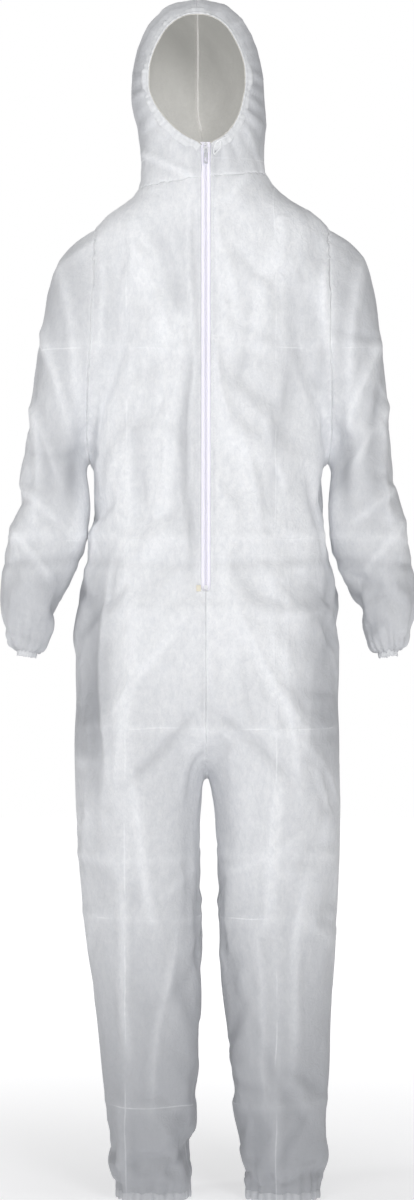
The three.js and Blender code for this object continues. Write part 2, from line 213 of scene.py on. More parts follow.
def heights(points):
    return (points[:, 2] - ANKLE_END) / MM


def shade_smooth(obj):
    obj.data.polygons.foreach_set("use_smooth", [True] * len(obj.data.polygons))


def wear(obj, *materials):
    obj.data.materials.clear()
    for material in materials:
        obj.data.materials.append(material)


# ---- Materials


def colour(text):
    """An sRGB hex value as linear red, green, blue and alpha."""
    parts = [int(text[i : i + 2], 16) / 255 for i in (1, 3, 5)]
    return tuple(p / 12.92 if p <= 0.04045 else ((p + 0.055) / 1.055) ** 2.4 for p in parts) + (1.0,)


def node(tree, kind, links=(), **settings):
    """Adds a node. links holds (input, value or output) pairs, and settings its own properties."""
    made = tree.nodes.new(kind)
    for name, value in settings.items():
        setattr(made, name, value)
    for socket, value in links:
        if isinstance(value, bpy.types.NodeSocket):
            tree.links.new(value, made.inputs[socket])
        else:
            made.inputs[socket].default_value = value
    return made


def start_material(name, **sockets):
    """A material with one Principled shader, and that shader's plain values set."""
    material = bpy.data.materials.new(name)
    material.use_nodes = True
    tree = material.node_tree
    tree.nodes.clear()
    shader = node(tree, "ShaderNodeBsdfPrincipled")
    for socket, value in sockets.items():
        shader.inputs[socket.replace("_", " ")].default_value = value
    node(tree, "ShaderNodeOutputMaterial", [("Surface", shader.outputs[0])])
    return material, tree, shader


# The flat pack's folds: the axis they cross, where the first one lies and how far apart they are.
PACK_FOLDS = (("X", -116 * MM, 217 * MM), ("Z", up(143), 276 * MM))
CREASE_BOW = 16 * MM
CREASE_HALF_WIDTH = 1.6 * MM
POINT_SPACING = 2.2 * MM


def cloth_material(name, light, greyed, low, roughness, painted_glow=0.0):
    """Spun-bonded polypropylene, pressed with a fine point pattern.

    Matt and cool white; cloudy where the fibres lie thinner. A piece's own attribute greyed holds painted
    light and shade:
    how far its colour is drawn towards the low one, greyer where less light falls and in the hollows of its
    folds, whiter on ridges.
    painted_glow is painted light, a faint glow in the light colour that brightens the cloth's shaded inner
    side.
    """
    material, tree, shader = start_material(
        name, IOR=1.49, Sheen_Weight=0.05, Emission_Color=colour(light), Emission_Strength=painted_glow,
    )
    where = node(tree, "ShaderNodeTexCoord").outputs["Object"]
    # Fibre clouds of about 8 mm, streaked a little upwards as the web came off the roll.
    roll = node(tree, "ShaderNodeMapping", [("Vector", where), ("Scale", (1.0, 1.0, 0.55))])
    clouds = node(
        tree, "ShaderNodeTexNoise",
        [("Vector", roll.outputs[0]), ("Scale", 130), ("Detail", 5), ("Roughness", 0.7), ("Distortion", 0.4)],
    )
    # Fibres are 0.02 mm; they are drawn as flecks of 2.5 mm, the finest that shows.
    flecks = node(
        tree, "ShaderNodeTexNoise",
        [("Vector", roll.outputs[0]), ("Scale", 420), ("Detail", 2), ("Roughness", 0.5), ("Distortion", 1.2)],
    )
    web = node(
        tree, "ShaderNodeMath",
        [(0, flecks.outputs[0]), (1, 0.45), (2, clouds.outputs[0])], operation="MULTIPLY_ADD",
    )
    cloudy = node(
        tree, "ShaderNodeMapRange",
        [("Value", web.outputs[0]), ("From Min", 0.50), ("From Max", 0.92), ("To Min", 0.0), ("To Max", 1.0)],
    )
    # The piece's painted light and shade, stored in its greyed attribute.
    painted_shade_attr = node(tree, "ShaderNodeAttribute", attribute_name="greyed")
    unshaded = node(
        tree, "ShaderNodeMix",
        [(0, cloudy.outputs[0]), (6, colour(greyed)), (7, colour(light))], data_type="RGBA",
    )
    # Painted shade: the cloud colour is mixed towards the low colour by the greyed attribute.
    shade = node(tree, "ShaderNodeMix", [(6, unshaded.outputs[2]), (7, colour(low))], data_type="RGBA")
    tree.links.new(shade.outputs[2], shader.inputs["Base Color"])
    rough = node(
        tree, "ShaderNodeMapRange",
        [("Value", clouds.outputs[0]), ("To Min", roughness - 0.08), ("To Max", roughness + 0.08)],
    )
    tree.links.new(rough.outputs[0], shader.inputs["Roughness"])
    # Fine creases from the flat pack, a grid of 217 by 276 mm, that come and go.
    wander = node(tree, "ShaderNodeTexNoise", [("Vector", where), ("Scale", 7), ("Detail", 2)])
    parts = node(tree, "ShaderNodeSeparateXYZ", [("Vector", where)])
    lines = []
    for axis, first, spacing in PACK_FOLDS:
        bent = node(
            tree, "ShaderNodeMath",
            [(0, wander.outputs[0]), (1, CREASE_BOW), (2, parts.outputs[axis])], operation="MULTIPLY_ADD",
        )
        start = node(
            tree, "ShaderNodeMath", [(0, bent.outputs[0]), (1, first + CREASE_BOW / 2)], operation="SUBTRACT",
        )
        off = node(tree, "ShaderNodeMath", [(0, start.outputs[0]), (1, spacing / 2)], operation="PINGPONG")
        line = node(
            tree, "ShaderNodeMapRange",
            [("Value", off.outputs[0]), ("From Max", CREASE_HALF_WIDTH), ("To Min", 1.0), ("To Max", 0.0)],
        )
        lines.append(line.outputs[0])
    pack = node(tree, "ShaderNodeMath", [(0, lines[0]), (1, lines[1])], operation="MAXIMUM")
    come_and_go = node(tree, "ShaderNodeTexNoise", [("Vector", where), ("Scale", 11), ("Detail", 2)])
    shown = node(
        tree, "ShaderNodeMapRange",
        [("Value", come_and_go.outputs[0]), ("From Min", 0.46), ("From Max", 0.60)],
    )
    crease = node(tree, "ShaderNodeMath", [(0, pack.outputs[0]), (1, shown.outputs[0])], operation="MULTIPLY")
    # Pressed points stand 1.1 mm apart; they are drawn 2.2 mm apart so that they show.
    points = node(
        tree, "ShaderNodeTexVoronoi",
        [("Vector", where), ("Scale", 1 / POINT_SPACING), ("Randomness", 0.15)], feature="F1",
    )
    crumple = node(
        tree, "ShaderNodeTexNoise",
        [("Vector", where), ("Scale", 55), ("Detail", 6), ("Roughness", 0.6), ("Distortion", 0.8)],
    )
    relief = node(
        tree, "ShaderNodeMath",
        [(0, points.outputs["Distance"]), (1, 0.06), (2, crumple.outputs[0])], operation="MULTIPLY_ADD",
    )
    height = node(
        tree, "ShaderNodeMath",
        [(0, crease.outputs[0]), (1, 0.25), (2, relief.outputs[0])], operation="MULTIPLY_ADD",
    )
    bump = node(
        tree, "ShaderNodeBump",
        [("Height", height.outputs[0]), ("Strength", 0.5), ("Distance", 3.2 * MM)],
    )
    tree.links.new(bump.outputs[0], shader.inputs["Normal"])
    # A crease is bruised fibre, which looks whiter than the flat cloth.
    grey = node(
        tree, "ShaderNodeMath",
        [(0, crease.outputs[0]), (1, -0.34), (2, painted_shade_attr.outputs["Fac"])],
        operation="MULTIPLY_ADD", use_clamp=True,
    )
    tree.links.new(grey.outputs[0], shade.inputs[0])
    return material


def two_tones(tree, shader, pattern, low, high, strength, depth):
    """Colours the shader from low to high by a pattern, and raises the pattern by a depth in mm."""
    tones = node(tree, "ShaderNodeMix", [(0, pattern), (6, colour(low)), (7, colour(high))], data_type="RGBA")
    relief = node(
        tree, "ShaderNodeBump",
        [("Height", pattern), ("Strength", strength), ("Distance", depth * MM)],
    )
    tree.links.new(tones.outputs[2], shader.inputs["Base Color"])
    tree.links.new(relief.outputs[0], shader.inputs["Normal"])


def wave_scale(spacing):
    """The Wave Texture's scale at which its bands stand this many mm apart."""
    return 0.314 / (spacing * MM)


def tape_material():
    """Woven polyester tape: slightly lilac because of its optical whitener, with a fine twill rib."""
    # Its emission is painted light, which keeps the tape bright in its recess between the fronts.
    material, tree, shader = start_material(
        "woven_polyester_tape", IOR=1.5, Roughness=0.7,
        Emission_Color=colour("#EFECFF"), Emission_Strength=0.16,
    )
    where = node(tree, "ShaderNodeTexCoord").outputs["Object"]
    turned = node(tree, "ShaderNodeMapping", [("Vector", where), ("Rotation", (0, math.radians(35), 0))])
    # The rib repeats every 0.6 mm; it is drawn every 1.6 mm.
    rib = node(
        tree, "ShaderNodeTexWave",
        [("Vector", turned.outputs[0]), ("Scale", wave_scale(1.6)), ("Distortion", 0.6)],
    )
    two_tones(tree, shader, rib.outputs["Fac"], "#EDEBF7", "#FAF9FE", 0.3, 0.2)
    return material


def moulded_material(name, light, dark, roughness, grain, **sockets):
    """A moulded or enamelled small part: nearly even colour, a little uneven gloss and faint orange peel."""
    material, tree, shader = start_material(name, **sockets)
    where = node(tree, "ShaderNodeTexCoord").outputs["Object"]
    peel = node(tree, "ShaderNodeTexNoise", [("Vector", where), ("Scale", 1 / (grain * MM)), ("Detail", 3)])
    two_tones(tree, shader, peel.outputs[0], dark, light, 0.15, 0.1)
    rough = node(
        tree, "ShaderNodeMapRange",
        [("Value", peel.outputs[0]), ("To Min", roughness - 0.06), ("To Max", roughness + 0.08)],
    )
    tree.links.new(rough.outputs[0], shader.inputs["Roughness"])
    return material


def elastic_material():
    """Knitted rubber elastic: off-white, with cords of 1.2 mm along its length."""
    material, tree, shader = start_material("knitted_elastic", IOR=1.52, Roughness=0.75)
    where = node(tree, "ShaderNodeTexCoord").outputs["Object"]
    cords = node(
        tree, "ShaderNodeTexWave",
        [("Vector", where), ("Scale", wave_scale(1.2)), ("Distortion", 1.0), ("Detail", 2)],
        bands_direction="Z",
    )
    two_tones(tree, shader, cords.outputs["Fac"], "#BFBDB6", "#E4E2DC", 0.5, 0.3)
    return material


OUTSIDE = cloth_material("spunbond_outside", "#F8F9FB", "#E6E8EC", "#A7A9AE", 0.62)
# The inside and the hood's seam edges glow a little: painted light that brightens the hood's shaded inside.
INSIDE = cloth_material("spunbond_inside", "#E2E1DE", "#D6D5D2", "#8F8F8B", 0.8, 0.22)
HEM_CLOTH = cloth_material("spunbond_gathered", "#FAFBFC", "#E9EBEE", "#B8BABF", 0.6)
SEAM_CLOTH = cloth_material("spunbond_seam_edges", "#EFEEEC", "#E4E3E1", "#C4C3C1", 0.7, 0.26)
TAPE = tape_material()
# The coil's emission is painted light too, for the same recess.
COIL = moulded_material(
    "nylon_coil", "#FAF9FF", "#EFEDFB", 0.38, 1.5, IOR=1.53,
    Emission_Color=colour("#F4F2FF"), Emission_Strength=0.08,
)
ENAMEL = moulded_material("white_enamelled_zinc", "#F4F4F6", "#E2E3E8", 0.3, 1.0, IOR=1.5, Coat_Weight=0.3)
GREY_ENAMEL = moulded_material(
    "grey_enamelled_zinc", "#C9CACF", "#B4B6BC", 0.35, 1.0, IOR=1.5, Coat_Weight=0.3,
)
STAPLE = moulded_material("clear_coated_stop", "#F4EFE0", "#E2DAC4", 0.45, 1.0, IOR=1.5)
THREAD = moulded_material("polyester_thread", "#F2F3F6", "#D9DBE0", 0.55, 0.8, IOR=1.5)
ELASTIC = elastic_material()
# Painted shadow: the dark colour drawn in the slider's coil mouths.
SHADE = moulded_material("painted_shadow_in_slider_mouths", "#3A3B3F", "#2A2B2E", 0.6, 1.0, IOR=1.5)


# ---- Stage: floor, lights and camera


FLOOR_REACH = 9
FLOOR_FRONT = -6
FLOOR_DROP = 3
LENS = 105
SENSOR = 36
SHOWN = 1.770  # the height that the view takes in, in metres
LIGHTS_AIM = Vector((0, 0, -0.55))
# Name, place, power in watts and width of each lamp.
LAMPS = [
    ("key", (0.9, -3.1, 0.75), 31, 0.8), ("fill", (-1.1, -3.2, 0.35), 11, 1.0),
    ("rake", (-2.2, -0.9, 0.7), 13, 0.4), ("top", (0.3, -0.8, 2.1), 10, 0.5),
    ("back", (-0.7, 3.4, 1.2), 16, 1.6),
]


def floor_material():
    """Matt paint, brighter away from the feet, so that the floor runs out into the white background."""
    material = moulded_material(
        "matt_painted_floor", "#CFCFD1", "#C9C9CC", 0.9, 60.0, Emission_Color=colour("#FFFFFF"),
    )
    tree = material.node_tree
    # Its glow is painted light, weaker near the feet, which leaves painted shade round them.
    spot = node(tree, "ShaderNodeTexCoord").outputs["Object"]
    away = node(tree, "ShaderNodeVectorMath", [(0, spot), (1, (0, 0, ANKLE_END))], operation="DISTANCE")
    lit = node(
        tree, "ShaderNodeMapRange",
        [("Value", away.outputs["Value"]), ("From Min", 0.2), ("From Max", 2.4), ("To Min", 0.55)],
    )
    tree.links.new(lit.outputs[0], tree.nodes["Principled BSDF"].inputs["Emission Strength"])
    return material


def stage():
    """A pale floor, soft lamps and a long lens straight in front of the garment."""
    low = ANKLE_END - FLOOR_DROP * MM
    corners = [
        (-FLOOR_REACH, FLOOR_FRONT, low), (FLOOR_REACH, FLOOR_FRONT, low),
        (FLOOR_REACH, FLOOR_REACH, low), (-FLOOR_REACH, FLOOR_REACH, low),
    ]
    floor = make_object("floor", corners, [(0, 1, 2, 3)])
    wear(floor, floor_material())
    camera = bpy.data.cameras.new("camera")
    camera.lens = LENS
    camera.sensor_width = SENSOR
    eye = add_object("camera", camera)
    eye.location = (1.5 * MM, -SHOWN * LENS / SENSOR, up(881))
    eye.rotation_euler = (math.pi / 2, 0, 0)
    bpy.context.scene.camera = eye
    for name, spot, power, width in LAMPS:
        light = bpy.data.lights.new(name, "AREA")
        light.energy = power
        light.size = width
        lamp = add_object(name, light)
        lamp.location = spot
        lamp.rotation_euler = (LIGHTS_AIM - Vector(spot)).to_track_quat("-Z", "Y").to_euler()
    world = bpy.data.worlds.new("studio")
    bpy.context.scene.world = world
    world.use_nodes = True
    studio = world.node_tree
    studio.nodes.clear()
    soft = node(studio, "ShaderNodeBackground", [("Color", (1, 1, 1, 1)), ("Strength", 0.12)])
    seen = node(studio, "ShaderNodeBackground", [("Color", (1, 1, 1, 1)), ("Strength", 1.0)])
    ray = node(studio, "ShaderNodeLightPath").outputs["Is Camera Ray"]
    both = node(studio, "ShaderNodeMixShader", [(0, ray), (1, soft.outputs[0]), (2, seen.outputs[0])])
    node(studio, "ShaderNodeOutputWorld", [("Surface", both.outputs[0])])
    bpy.context.scene.view_settings.view_transform = "Standard"


stage()


# ---- The filled-out form


def oval(middle, across, deep, sides, squareness):
    """Points round an oval with the half axes across and deep, one ring for each middle."""
    a = (np.arange(sides) + 0.5) * 2 * math.pi / sides
    u = np.sign(np.cos(a)) * np.abs(np.cos(a)) ** (2 / squareness)
    v = np.sign(np.sin(a)) * np.abs(np.sin(a)) ** (2 / squareness)
    return middle[:, None] + across[:, None] * u[None, :, None] + deep[:, None] * v[None, :, None]


def tube_mesh(rings):
    """Points and faces of a closed tube through rings that are listed from the bottom up."""
    rows, sides, _ = rings.shape
    faces = []
    for r in range(rows - 1):
        for i in range(sides):
            j = (i + 1) % sides
            faces.append((r * sides + i, r * sides + j, (r + 1) * sides + j, (r + 1) * sides + i))
    faces.append(tuple(reversed(range(sides))))
    faces.append(tuple(range((rows - 1) * sides, rows * sides)))
    return rings.reshape(-1, 3), faces


def trunk_rings(count=110, sides=72):
    z, half, front, back = smooth_rows(TRUNK, count).T
    zero = np.zeros_like(z)
    middle = np.stack([zero, (front + back) / 2, z], 1)
    across = np.stack([half, zero, zero], 1)
    deep = np.stack([zero, (back - front) / 2, zero], 1)
    return oval(middle, across, deep, sides, 2.4)


def leg_rings(side):
    z, inner, outer, front, back = smooth_rows(LEG, 80).T
    zero = np.zeros_like(z)
    lean = LEG_LEAN * np.clip(1 - z / CROTCH, 0, None)
    middle = np.stack([side * (inner + outer) / 2 + lean, (front + back) / 2, z], 1)
    across = np.stack([(outer - inner) / 2, zero, zero], 1)
    deep = np.stack([zero, (back - front) / 2, zero], 1)
    return oval(middle, across, deep, 48, 2.2)


def arm_room(z):
    """How far the sleeves are held from the trunk while the cloth is draped, in mm, by height."""
    return ARM_ROOM * (1 - smoothstep(1000, 1120, z))


def sleeve_rings(side):
    outer_x, outer_z, inner_x, inner_z, half, middle_y = smooth_rows(SLEEVE, 70).T
    zero = np.zeros_like(half)
    outer = np.stack([side * (outer_x + arm_room(outer_z)), middle_y, outer_z], 1)
    inner = np.stack([side * (inner_x + arm_room(inner_z)), middle_y, inner_z], 1)
    deep = np.stack([zero, half, zero], 1)
    return oval((outer + inner) / 2, (outer - inner) / 2 * side, deep, 48, 2.1)


def filled_form():
    """The whole garment as one closed form, its limbs grown together."""
    parts = [trunk_rings(), leg_rings(LEFT), leg_rings(RIGHT), sleeve_rings(LEFT), sleeve_rings(RIGHT)]
    points, faces, start = [], [], 0
    for rings in parts:
        p, f = tube_mesh(rings)
        points.append(p * MM + np.array([0, 0, ANKLE_END]))
        faces += [tuple(i + start for i in face) for face in f]
        start += len(p)
    form = make_object("form", np.concatenate(points), faces)
    remesh = form.modifiers.new("grow together", "REMESH")
    remesh.mode = "VOXEL"
    remesh.voxel_size = GRID * MM
    smooth = form.modifiers.new("ease the joins", "SMOOTH")
    smooth.factor = 0.5
    smooth.iterations = 8
    flatten(form)
    # The seat runs into the legs with no step, so the joins are eased much more there.
    z = heights(points_of(form))
    seat = smoothstep(570, 640, z) * (1 - smoothstep(800, 870, z))
    group = form.vertex_groups.new(name="seat")
    for step in range(1, 11):
        chosen = np.where(np.round(seat * 10) == step)[0]
        group.add([int(i) for i in chosen], step / 10, "REPLACE")
    easing = form.modifiers.new("ease the seat", "SMOOTH")
    easing.factor = 0.5
    easing.iterations = 70
    easing.vertex_group = "seat"
    flatten(form)
    form.vertex_groups.clear()
    return form


def wrist_plane(side, along, room=0.0):
    """A point in a sleeve's end, moved along the arm in mm, and the direction towards the hand."""
    outer_x, outer_z, inner_x, inner_z, _, y = SLEEVE[1]
    across = Vector((outer_x - inner_x, 0, outer_z - inner_z)).normalized()
    down = Vector((side * across.z, 0, -across.x))
    middle = Vector((side * ((outer_x + inner_x) / 2 + room), y, (outer_z + inner_z) / 2))
    at = middle + down * (along + 23)
    return place(*at), down


def face_outline(count=96):
    """Points round the face opening, x and height in mm."""
    half = np.array(FACE, float)
    ring = np.concatenate([half, half[-2:0:-1] * [-1, 1]])
    wrapped = np.concatenate([ring[-3:], ring, ring[:4]])
    rows = smooth_rows(wrapped, 600)
    turn = np.unwrap(np.arctan2(rows[:, 0], rows[:, 1] - FACE_MIDDLE[1]))
    at = np.linspace(0, 2 * math.pi, count, endpoint=False)
    return np.stack([np.interp(at, turn, rows[:, k]) for k in (0, 1)], 1)


FACE_LOOP = face_outline()


def face_reach(x, z):
    """Distance outside the face opening in mm, negative inside, and the nearest point of its edge."""
    p = np.stack([x, z], 1)
    best = np.full(len(p), 1e9)
    near = np.zeros_like(p)
    for s, e in zip(FACE_LOOP, np.roll(FACE_LOOP, -1, 0)):
        d = e - s
        t = np.clip((p - s) @ d / (d @ d), 0, 1)
        q = s + t[:, None] * d
        r = np.linalg.norm(p - q, axis=1)
        closer = r < best
        best[closer] = r[closer]
        near[closer] = q[closer]
    inside = np.linalg.norm(p - FACE_MIDDLE, axis=1) < np.linalg.norm(near - FACE_MIDDLE, axis=1)
    return np.where(inside, -best, best), near


def reach_of(points):
    """Each point's distance outside the face opening in mm, and FAR off the front of the hood."""
    x, y, z = points[:, 0] / MM, points[:, 1] / MM, heights(points)
    front = (y < HOOD_FRONT) & (z > HOOD_LOW)
    reach = np.full(len(points), FAR)
    reach[front], _ = face_reach(x[front], z[front])
    return reach


# ---- Openings and seams


def middles(mesh):
    """The faces, and their middles as x and y in mm and height."""
    faces = list(mesh.faces)
    at = np.array([f.calc_center_median()[:] for f in faces])
    return faces, at[:, 0] / MM, at[:, 1] / MM, heights(at)


def chosen(mesh, test):
    """The faces whose middles pass the test."""
    faces, x, y, z = middles(mesh)
    return [faces[i] for i in np.where(test(x, y, z))[0]]


def cut(mesh, test, point, normal, clear=False):
    """Cuts the faces that pass the test along a plane, with points nearly on it moved onto it first."""
    faces = chosen(mesh, test)
    normal = Vector(normal).normalized()
    found = dict.fromkeys(v for f in faces for v in f.verts)
    if not clear:
        for v in found:
            off = (v.co - Vector(point)).dot(normal)
            if abs(off) < SNAP * MM:
                v.co -= normal * off
    edges = dict.fromkeys(e for f in faces for e in f.edges)
    geom = [*faces, *found, *edges]
    bmesh.ops.bisect_plane(mesh, geom=geom, dist=1e-6, plane_co=point, plane_no=normal, clear_outer=clear)


def open_ends(mesh):
    """Ankles and wrists end in the middle of their hems."""
    cut(mesh, lambda x, y, z: z < 60, place(0, 0, HEM_WIDTH / 2), (0, 0, -1), clear=True)
    for side in SIDES.values():
        at, down = wrist_plane(side, -HEM_WIDTH / 2, ARM_ROOM)
        cut(mesh, lambda x, y, z: (side * x > 215) & (z < 880), at, down, clear=True)


def open_face(mesh):
    """The face opening, with its edge points drawn onto the outline."""
    mesh.verts.ensure_lookup_table()
    mesh.verts.index_update()
    reach = reach_of(np.array([v.co[:] for v in mesh.verts]))
    gone = [f for f in mesh.faces if np.mean([reach[v.index] for v in f.verts]) < 0]
    bmesh.ops.delete(mesh, geom=gone, context="FACES")
    edge = [v for v in mesh.verts if v.is_boundary and v.co.z > up(HOOD_LOW)]
    at = np.array([v.co[:] for v in edge])
    _, on_edge = face_reach(at[:, 0] / MM, heights(at))
    for v, (ex, ez) in zip(edge, on_edge):
        v.co.x, v.co.z = ex * MM, up(ez)


def open_zip(mesh):
    """Takes out the strip of zip between the two fronts."""

    def by_zip(z, below):
        return (z > ZIP_BOTTOM - below) & (z < ZIP_TOP + 10)

    for side in SIDES.values():
        cut(
            mesh,
            lambda x, y, z: (np.abs(x) < NEAR_SEAM) & (y < CHEST) & by_zip(z, 20),
            place(side * SLOT, 0, 0), (1, 0, 0),
        )
    cut(
        mesh,
        lambda x, y, z: (np.abs(x) < SLOT) & (y < CHEST) & (z > ZIP_BOTTOM - 30) & (z < ZIP_BOTTOM + 35),
        place(0, 0, ZIP_BOTTOM), (0, 0, 1),
    )
    gone = chosen(mesh, lambda x, y, z: (np.abs(x) < SLOT) & (y < CHEST) & by_zip(z, 0))
    bmesh.ops.delete(mesh, geom=gone, context="FACES")


def armhole_at(z):
    """How far out the armhole seam lies while the cloth is draped, in mm, by height."""
    return by_height(ARMHOLE, z) + arm_room(z) / 2


def cut_seams(mesh):
    """Seams: middle of front and back, neck, armholes, sides and shoulders."""
    cut(
        mesh, lambda x, y, z: (np.abs(x) < NEAR_SEAM) & ((y > 0) | (z < ZIP_BOTTOM) | (z > ZIP_TOP)),
        place(0, 0, 0), (1, 0, 0),
    )
    cut(mesh, lambda x, y, z: np.abs(z - NECK_SEAM) < 34, place(0, 0, NECK_SEAM), (-NECK_SLOPE, 0, 1))
    for side in SIDES.values():
        for (x0, z0), (x1, z1) in zip(ARMHOLE[:3], ARMHOLE[1:4]):
            low, high = z1 - 12, min(z0, 1460) + 12
            cut(
                mesh, lambda x, y, z: (side * x > 120) & (z > low) & (z < high) & (side * x < 215),
                place(side * x0, 0, z0), (z0 - z1, 0, side * (x1 - x0)),
            )
    cut(
        mesh, lambda x, y, z: (np.abs(x) < armhole_at(z)) & (z < NECK_SEAM + 20) & (np.abs(y) < NEAR_SEAM),
        place(0, SIDE_SEAM, 0), (0, 1, 0),
    )


def number_panels(mesh):
    """Gives each face its panel's number, in the order of PANELS."""
    faces, x, y, z = middles(mesh)
    hood = z > NECK_SEAM + NECK_SLOPE * x
    sleeve = (np.abs(x) > armhole_at(z)) & ~hood
    number = np.where(hood, 6, np.where(sleeve, 4, np.where(y < SIDE_SEAM, 0, 2))) + (x < 0)
    for f, n in zip(faces, number):
        f.material_index = int(n)
        f.smooth = True


def open_and_mark(form):
    """Opens the ends, the face and the front, cuts the seams, and numbers each panel's faces."""
    mesh = bmesh.new()
    mesh.from_mesh(form.data)
    for step in (open_ends, open_face, open_zip, cut_seams, number_panels):
        step(mesh)
    mesh.to_mesh(form.data)
    mesh.free()


# ---- Draping


def pin_weights(points):
    """How firmly each point of the cloth is held while it is draped, from 0 to 1."""
    x, y, z = points[:, 0] / MM, points[:, 1] / MM, heights(points)
    weight = 0.5 * smoothstep(1330, 1440, z)
    weight = np.maximum(weight, 1 - smoothstep(3, 22, reach_of(points)))
    weight = np.maximum(weight, 1 - smoothstep(HEM_WIDTH, HEM_WIDTH + 14, z))
    for side in SIDES.values():
        at, down = wrist_plane(side, 0, ARM_ROOM)
        along = (points - np.array(at)) @ np.array(down) / MM
        hand = (side * x > 190) & (z < 900)
        weight = np.maximum(weight, np.where(hand, smoothstep(-28, -HEM_WIDTH, along), 0))
    weight = np.maximum(weight, 0.30 * smoothstep(560, 640, z) * (1 - smoothstep(760, 840, z)))
    by_zip = (y < 0) & (z > ZIP_BOTTOM - 10)
    weight = np.maximum(weight, np.where(by_zip, 1 - smoothstep(8, 30, np.abs(x)), 0))
    return weight


def first_waves(points, normals, hold):
    """A gentle unevenness for the folds to start from, longer up the garment than across it."""
    wave = np.zeros(len(points))
    for _ in range(48):
        k = rng.normal(size=3) * [1, 1, 0.22]
        k *= 2 * math.pi / rng.uniform(0.05, 0.15) / np.linalg.norm(k)
        wave += np.sin(points @ k + rng.uniform(0, 2 * math.pi))
    wave /= np.abs(wave).max()
    return points + normals * (wave * 3.2 * MM * (1 - hold))[:, None]


MOMENTS = 14
LEAST_HOLD = 0.08
# Light limp cloth, a little larger than the form it starts from.
CLOTH_SETTINGS = {
    "quality": 4, "mass": 0.05, "air_damping": 2,
    "tension_stiffness": 30, "compression_stiffness": 30, "shear_stiffness": 12, "bending_stiffness": 3,
    "tension_damping": 10, "compression_damping": 10, "shear_damping": 10, "bending_damping": 1,
    "vertex_group_mass": "held", "pin_stiffness": 1, "shrink_min": -0.022,
}


def drape(cloth):
    """Hangs the cloth under its own weight with a little spare stuff in it, so that it folds by itself."""
    points = points_of(cloth)
    hold = pin_weights(points)
    set_points(cloth, first_waves(points, normals_of(cloth), hold))
    hold = np.maximum(hold, LEAST_HOLD)
    pins = cloth.vertex_groups.new(name="held")
    steps = np.round(hold * 20).astype(int)
    for step in np.unique(steps):
        pins.add([int(i) for i in np.where(steps == step)[0]], max(step / 20, LEAST_HOLD), "REPLACE")
    modifier = cloth.modifiers.new("drape", "CLOTH")
    for setting, value in CLOTH_SETTINGS.items():
        setattr(modifier.settings, setting, value)
    modifier.settings.effector_weights.gravity = 0.35
    modifier.collision_settings.use_collision = False
    modifier.collision_settings.use_self_collision = False
    modifier.point_cache.frame_start = 1
    modifier.point_cache.frame_end = 40
    for moment in range(1, MOMENTS + 1):
        bpy.context.scene.frame_set(moment)
    # Folds narrower than the mesh can show are eased away.
    ease = cloth.modifiers.new("ease", "SMOOTH")
    ease.factor = 0.5
    ease.iterations = 3
    flatten(cloth)
    bpy.context.scene.frame_set(1)


def bring_arms_in(cloth):
    """Takes back the room that the sleeves were given for the draping."""
    sleeve = np.zeros(len(cloth.data.vertices), bool)
    for polygon in cloth.data.polygons:
        if PANELS[polygon.material_index].startswith("sleeve"):
            sleeve[list(polygon.vertices)] = True
    points = points_of(cloth)
    room = arm_room(heights(points))
    points[sleeve, 0] -= np.sign(points[sleeve, 0]) * room[sleeve] * MM
    set_points(cloth, points)


# ---- Folds, gathers and creases


def tent(off, half_width):
    """A straight-sided fold: 1 on its line and 0 from half_width away."""
    return np.clip(1 - np.abs(off) / half_width, 0, 1)


def shipping_creases(points, normals):
    """Creases from the flat pack: the garment lay folded in a grid."""
    x, y, z = points[:, 0] / MM, points[:, 1] / MM, heights(points)
    sideways = np.abs(normals[:, 1])
    lift = np.zeros(len(points))
    for at, height in ((-116, 2.0), (101, 2.2)):
        wander = 3 * np.sin(z / 170 + at)
        lift += height * tent(x - at - wander, 13) * sideways * (z < 1440)
    for at, height in ((1249, 1.5), (973, 1.8), (935, -2.4), (695, 1.5), (509, 1.4), (419, 1.2), (143, 1.3)):
        wander = 4 * np.sin(x / 60 + at)
        lift += height * tent(z - at - wander, 12)
    return lift


def crumples(points, normals, count=230):
    """Short creases scattered over the whole garment, most of them running up and down."""
    lift = np.zeros(len(points))
    for _ in range(count):
        i = rng.integers(len(points))
        run = np.cross(normals[i], rng.normal(size=3) * [1, 1, 0.5])
        run = run / (np.linalg.norm(run) + 1e-9)
        across = np.cross(normals[i], run)
        length = rng.uniform(40, 130)
        width = rng.uniform(10, 22)
        height = rng.uniform(0.8, 2.4) * rng.choice([-1, 1], p=[0.45, 0.55])
        off = (points - points[i]) / MM
        beside = (np.abs(off @ across) < width) & (np.abs(off @ run) < length)
        near = np.where(beside & (np.abs(off @ normals[i]) < 40))[0]
        bow = (off[near] @ run) ** 2 / length * rng.uniform(-0.25, 0.25)
        fade = 1 - smoothstep(0.4, 1.0, np.abs(off[near] @ run) / length)
        lift[near] += height * tent(off[near] @ across + bow, width) * fade
    return lift


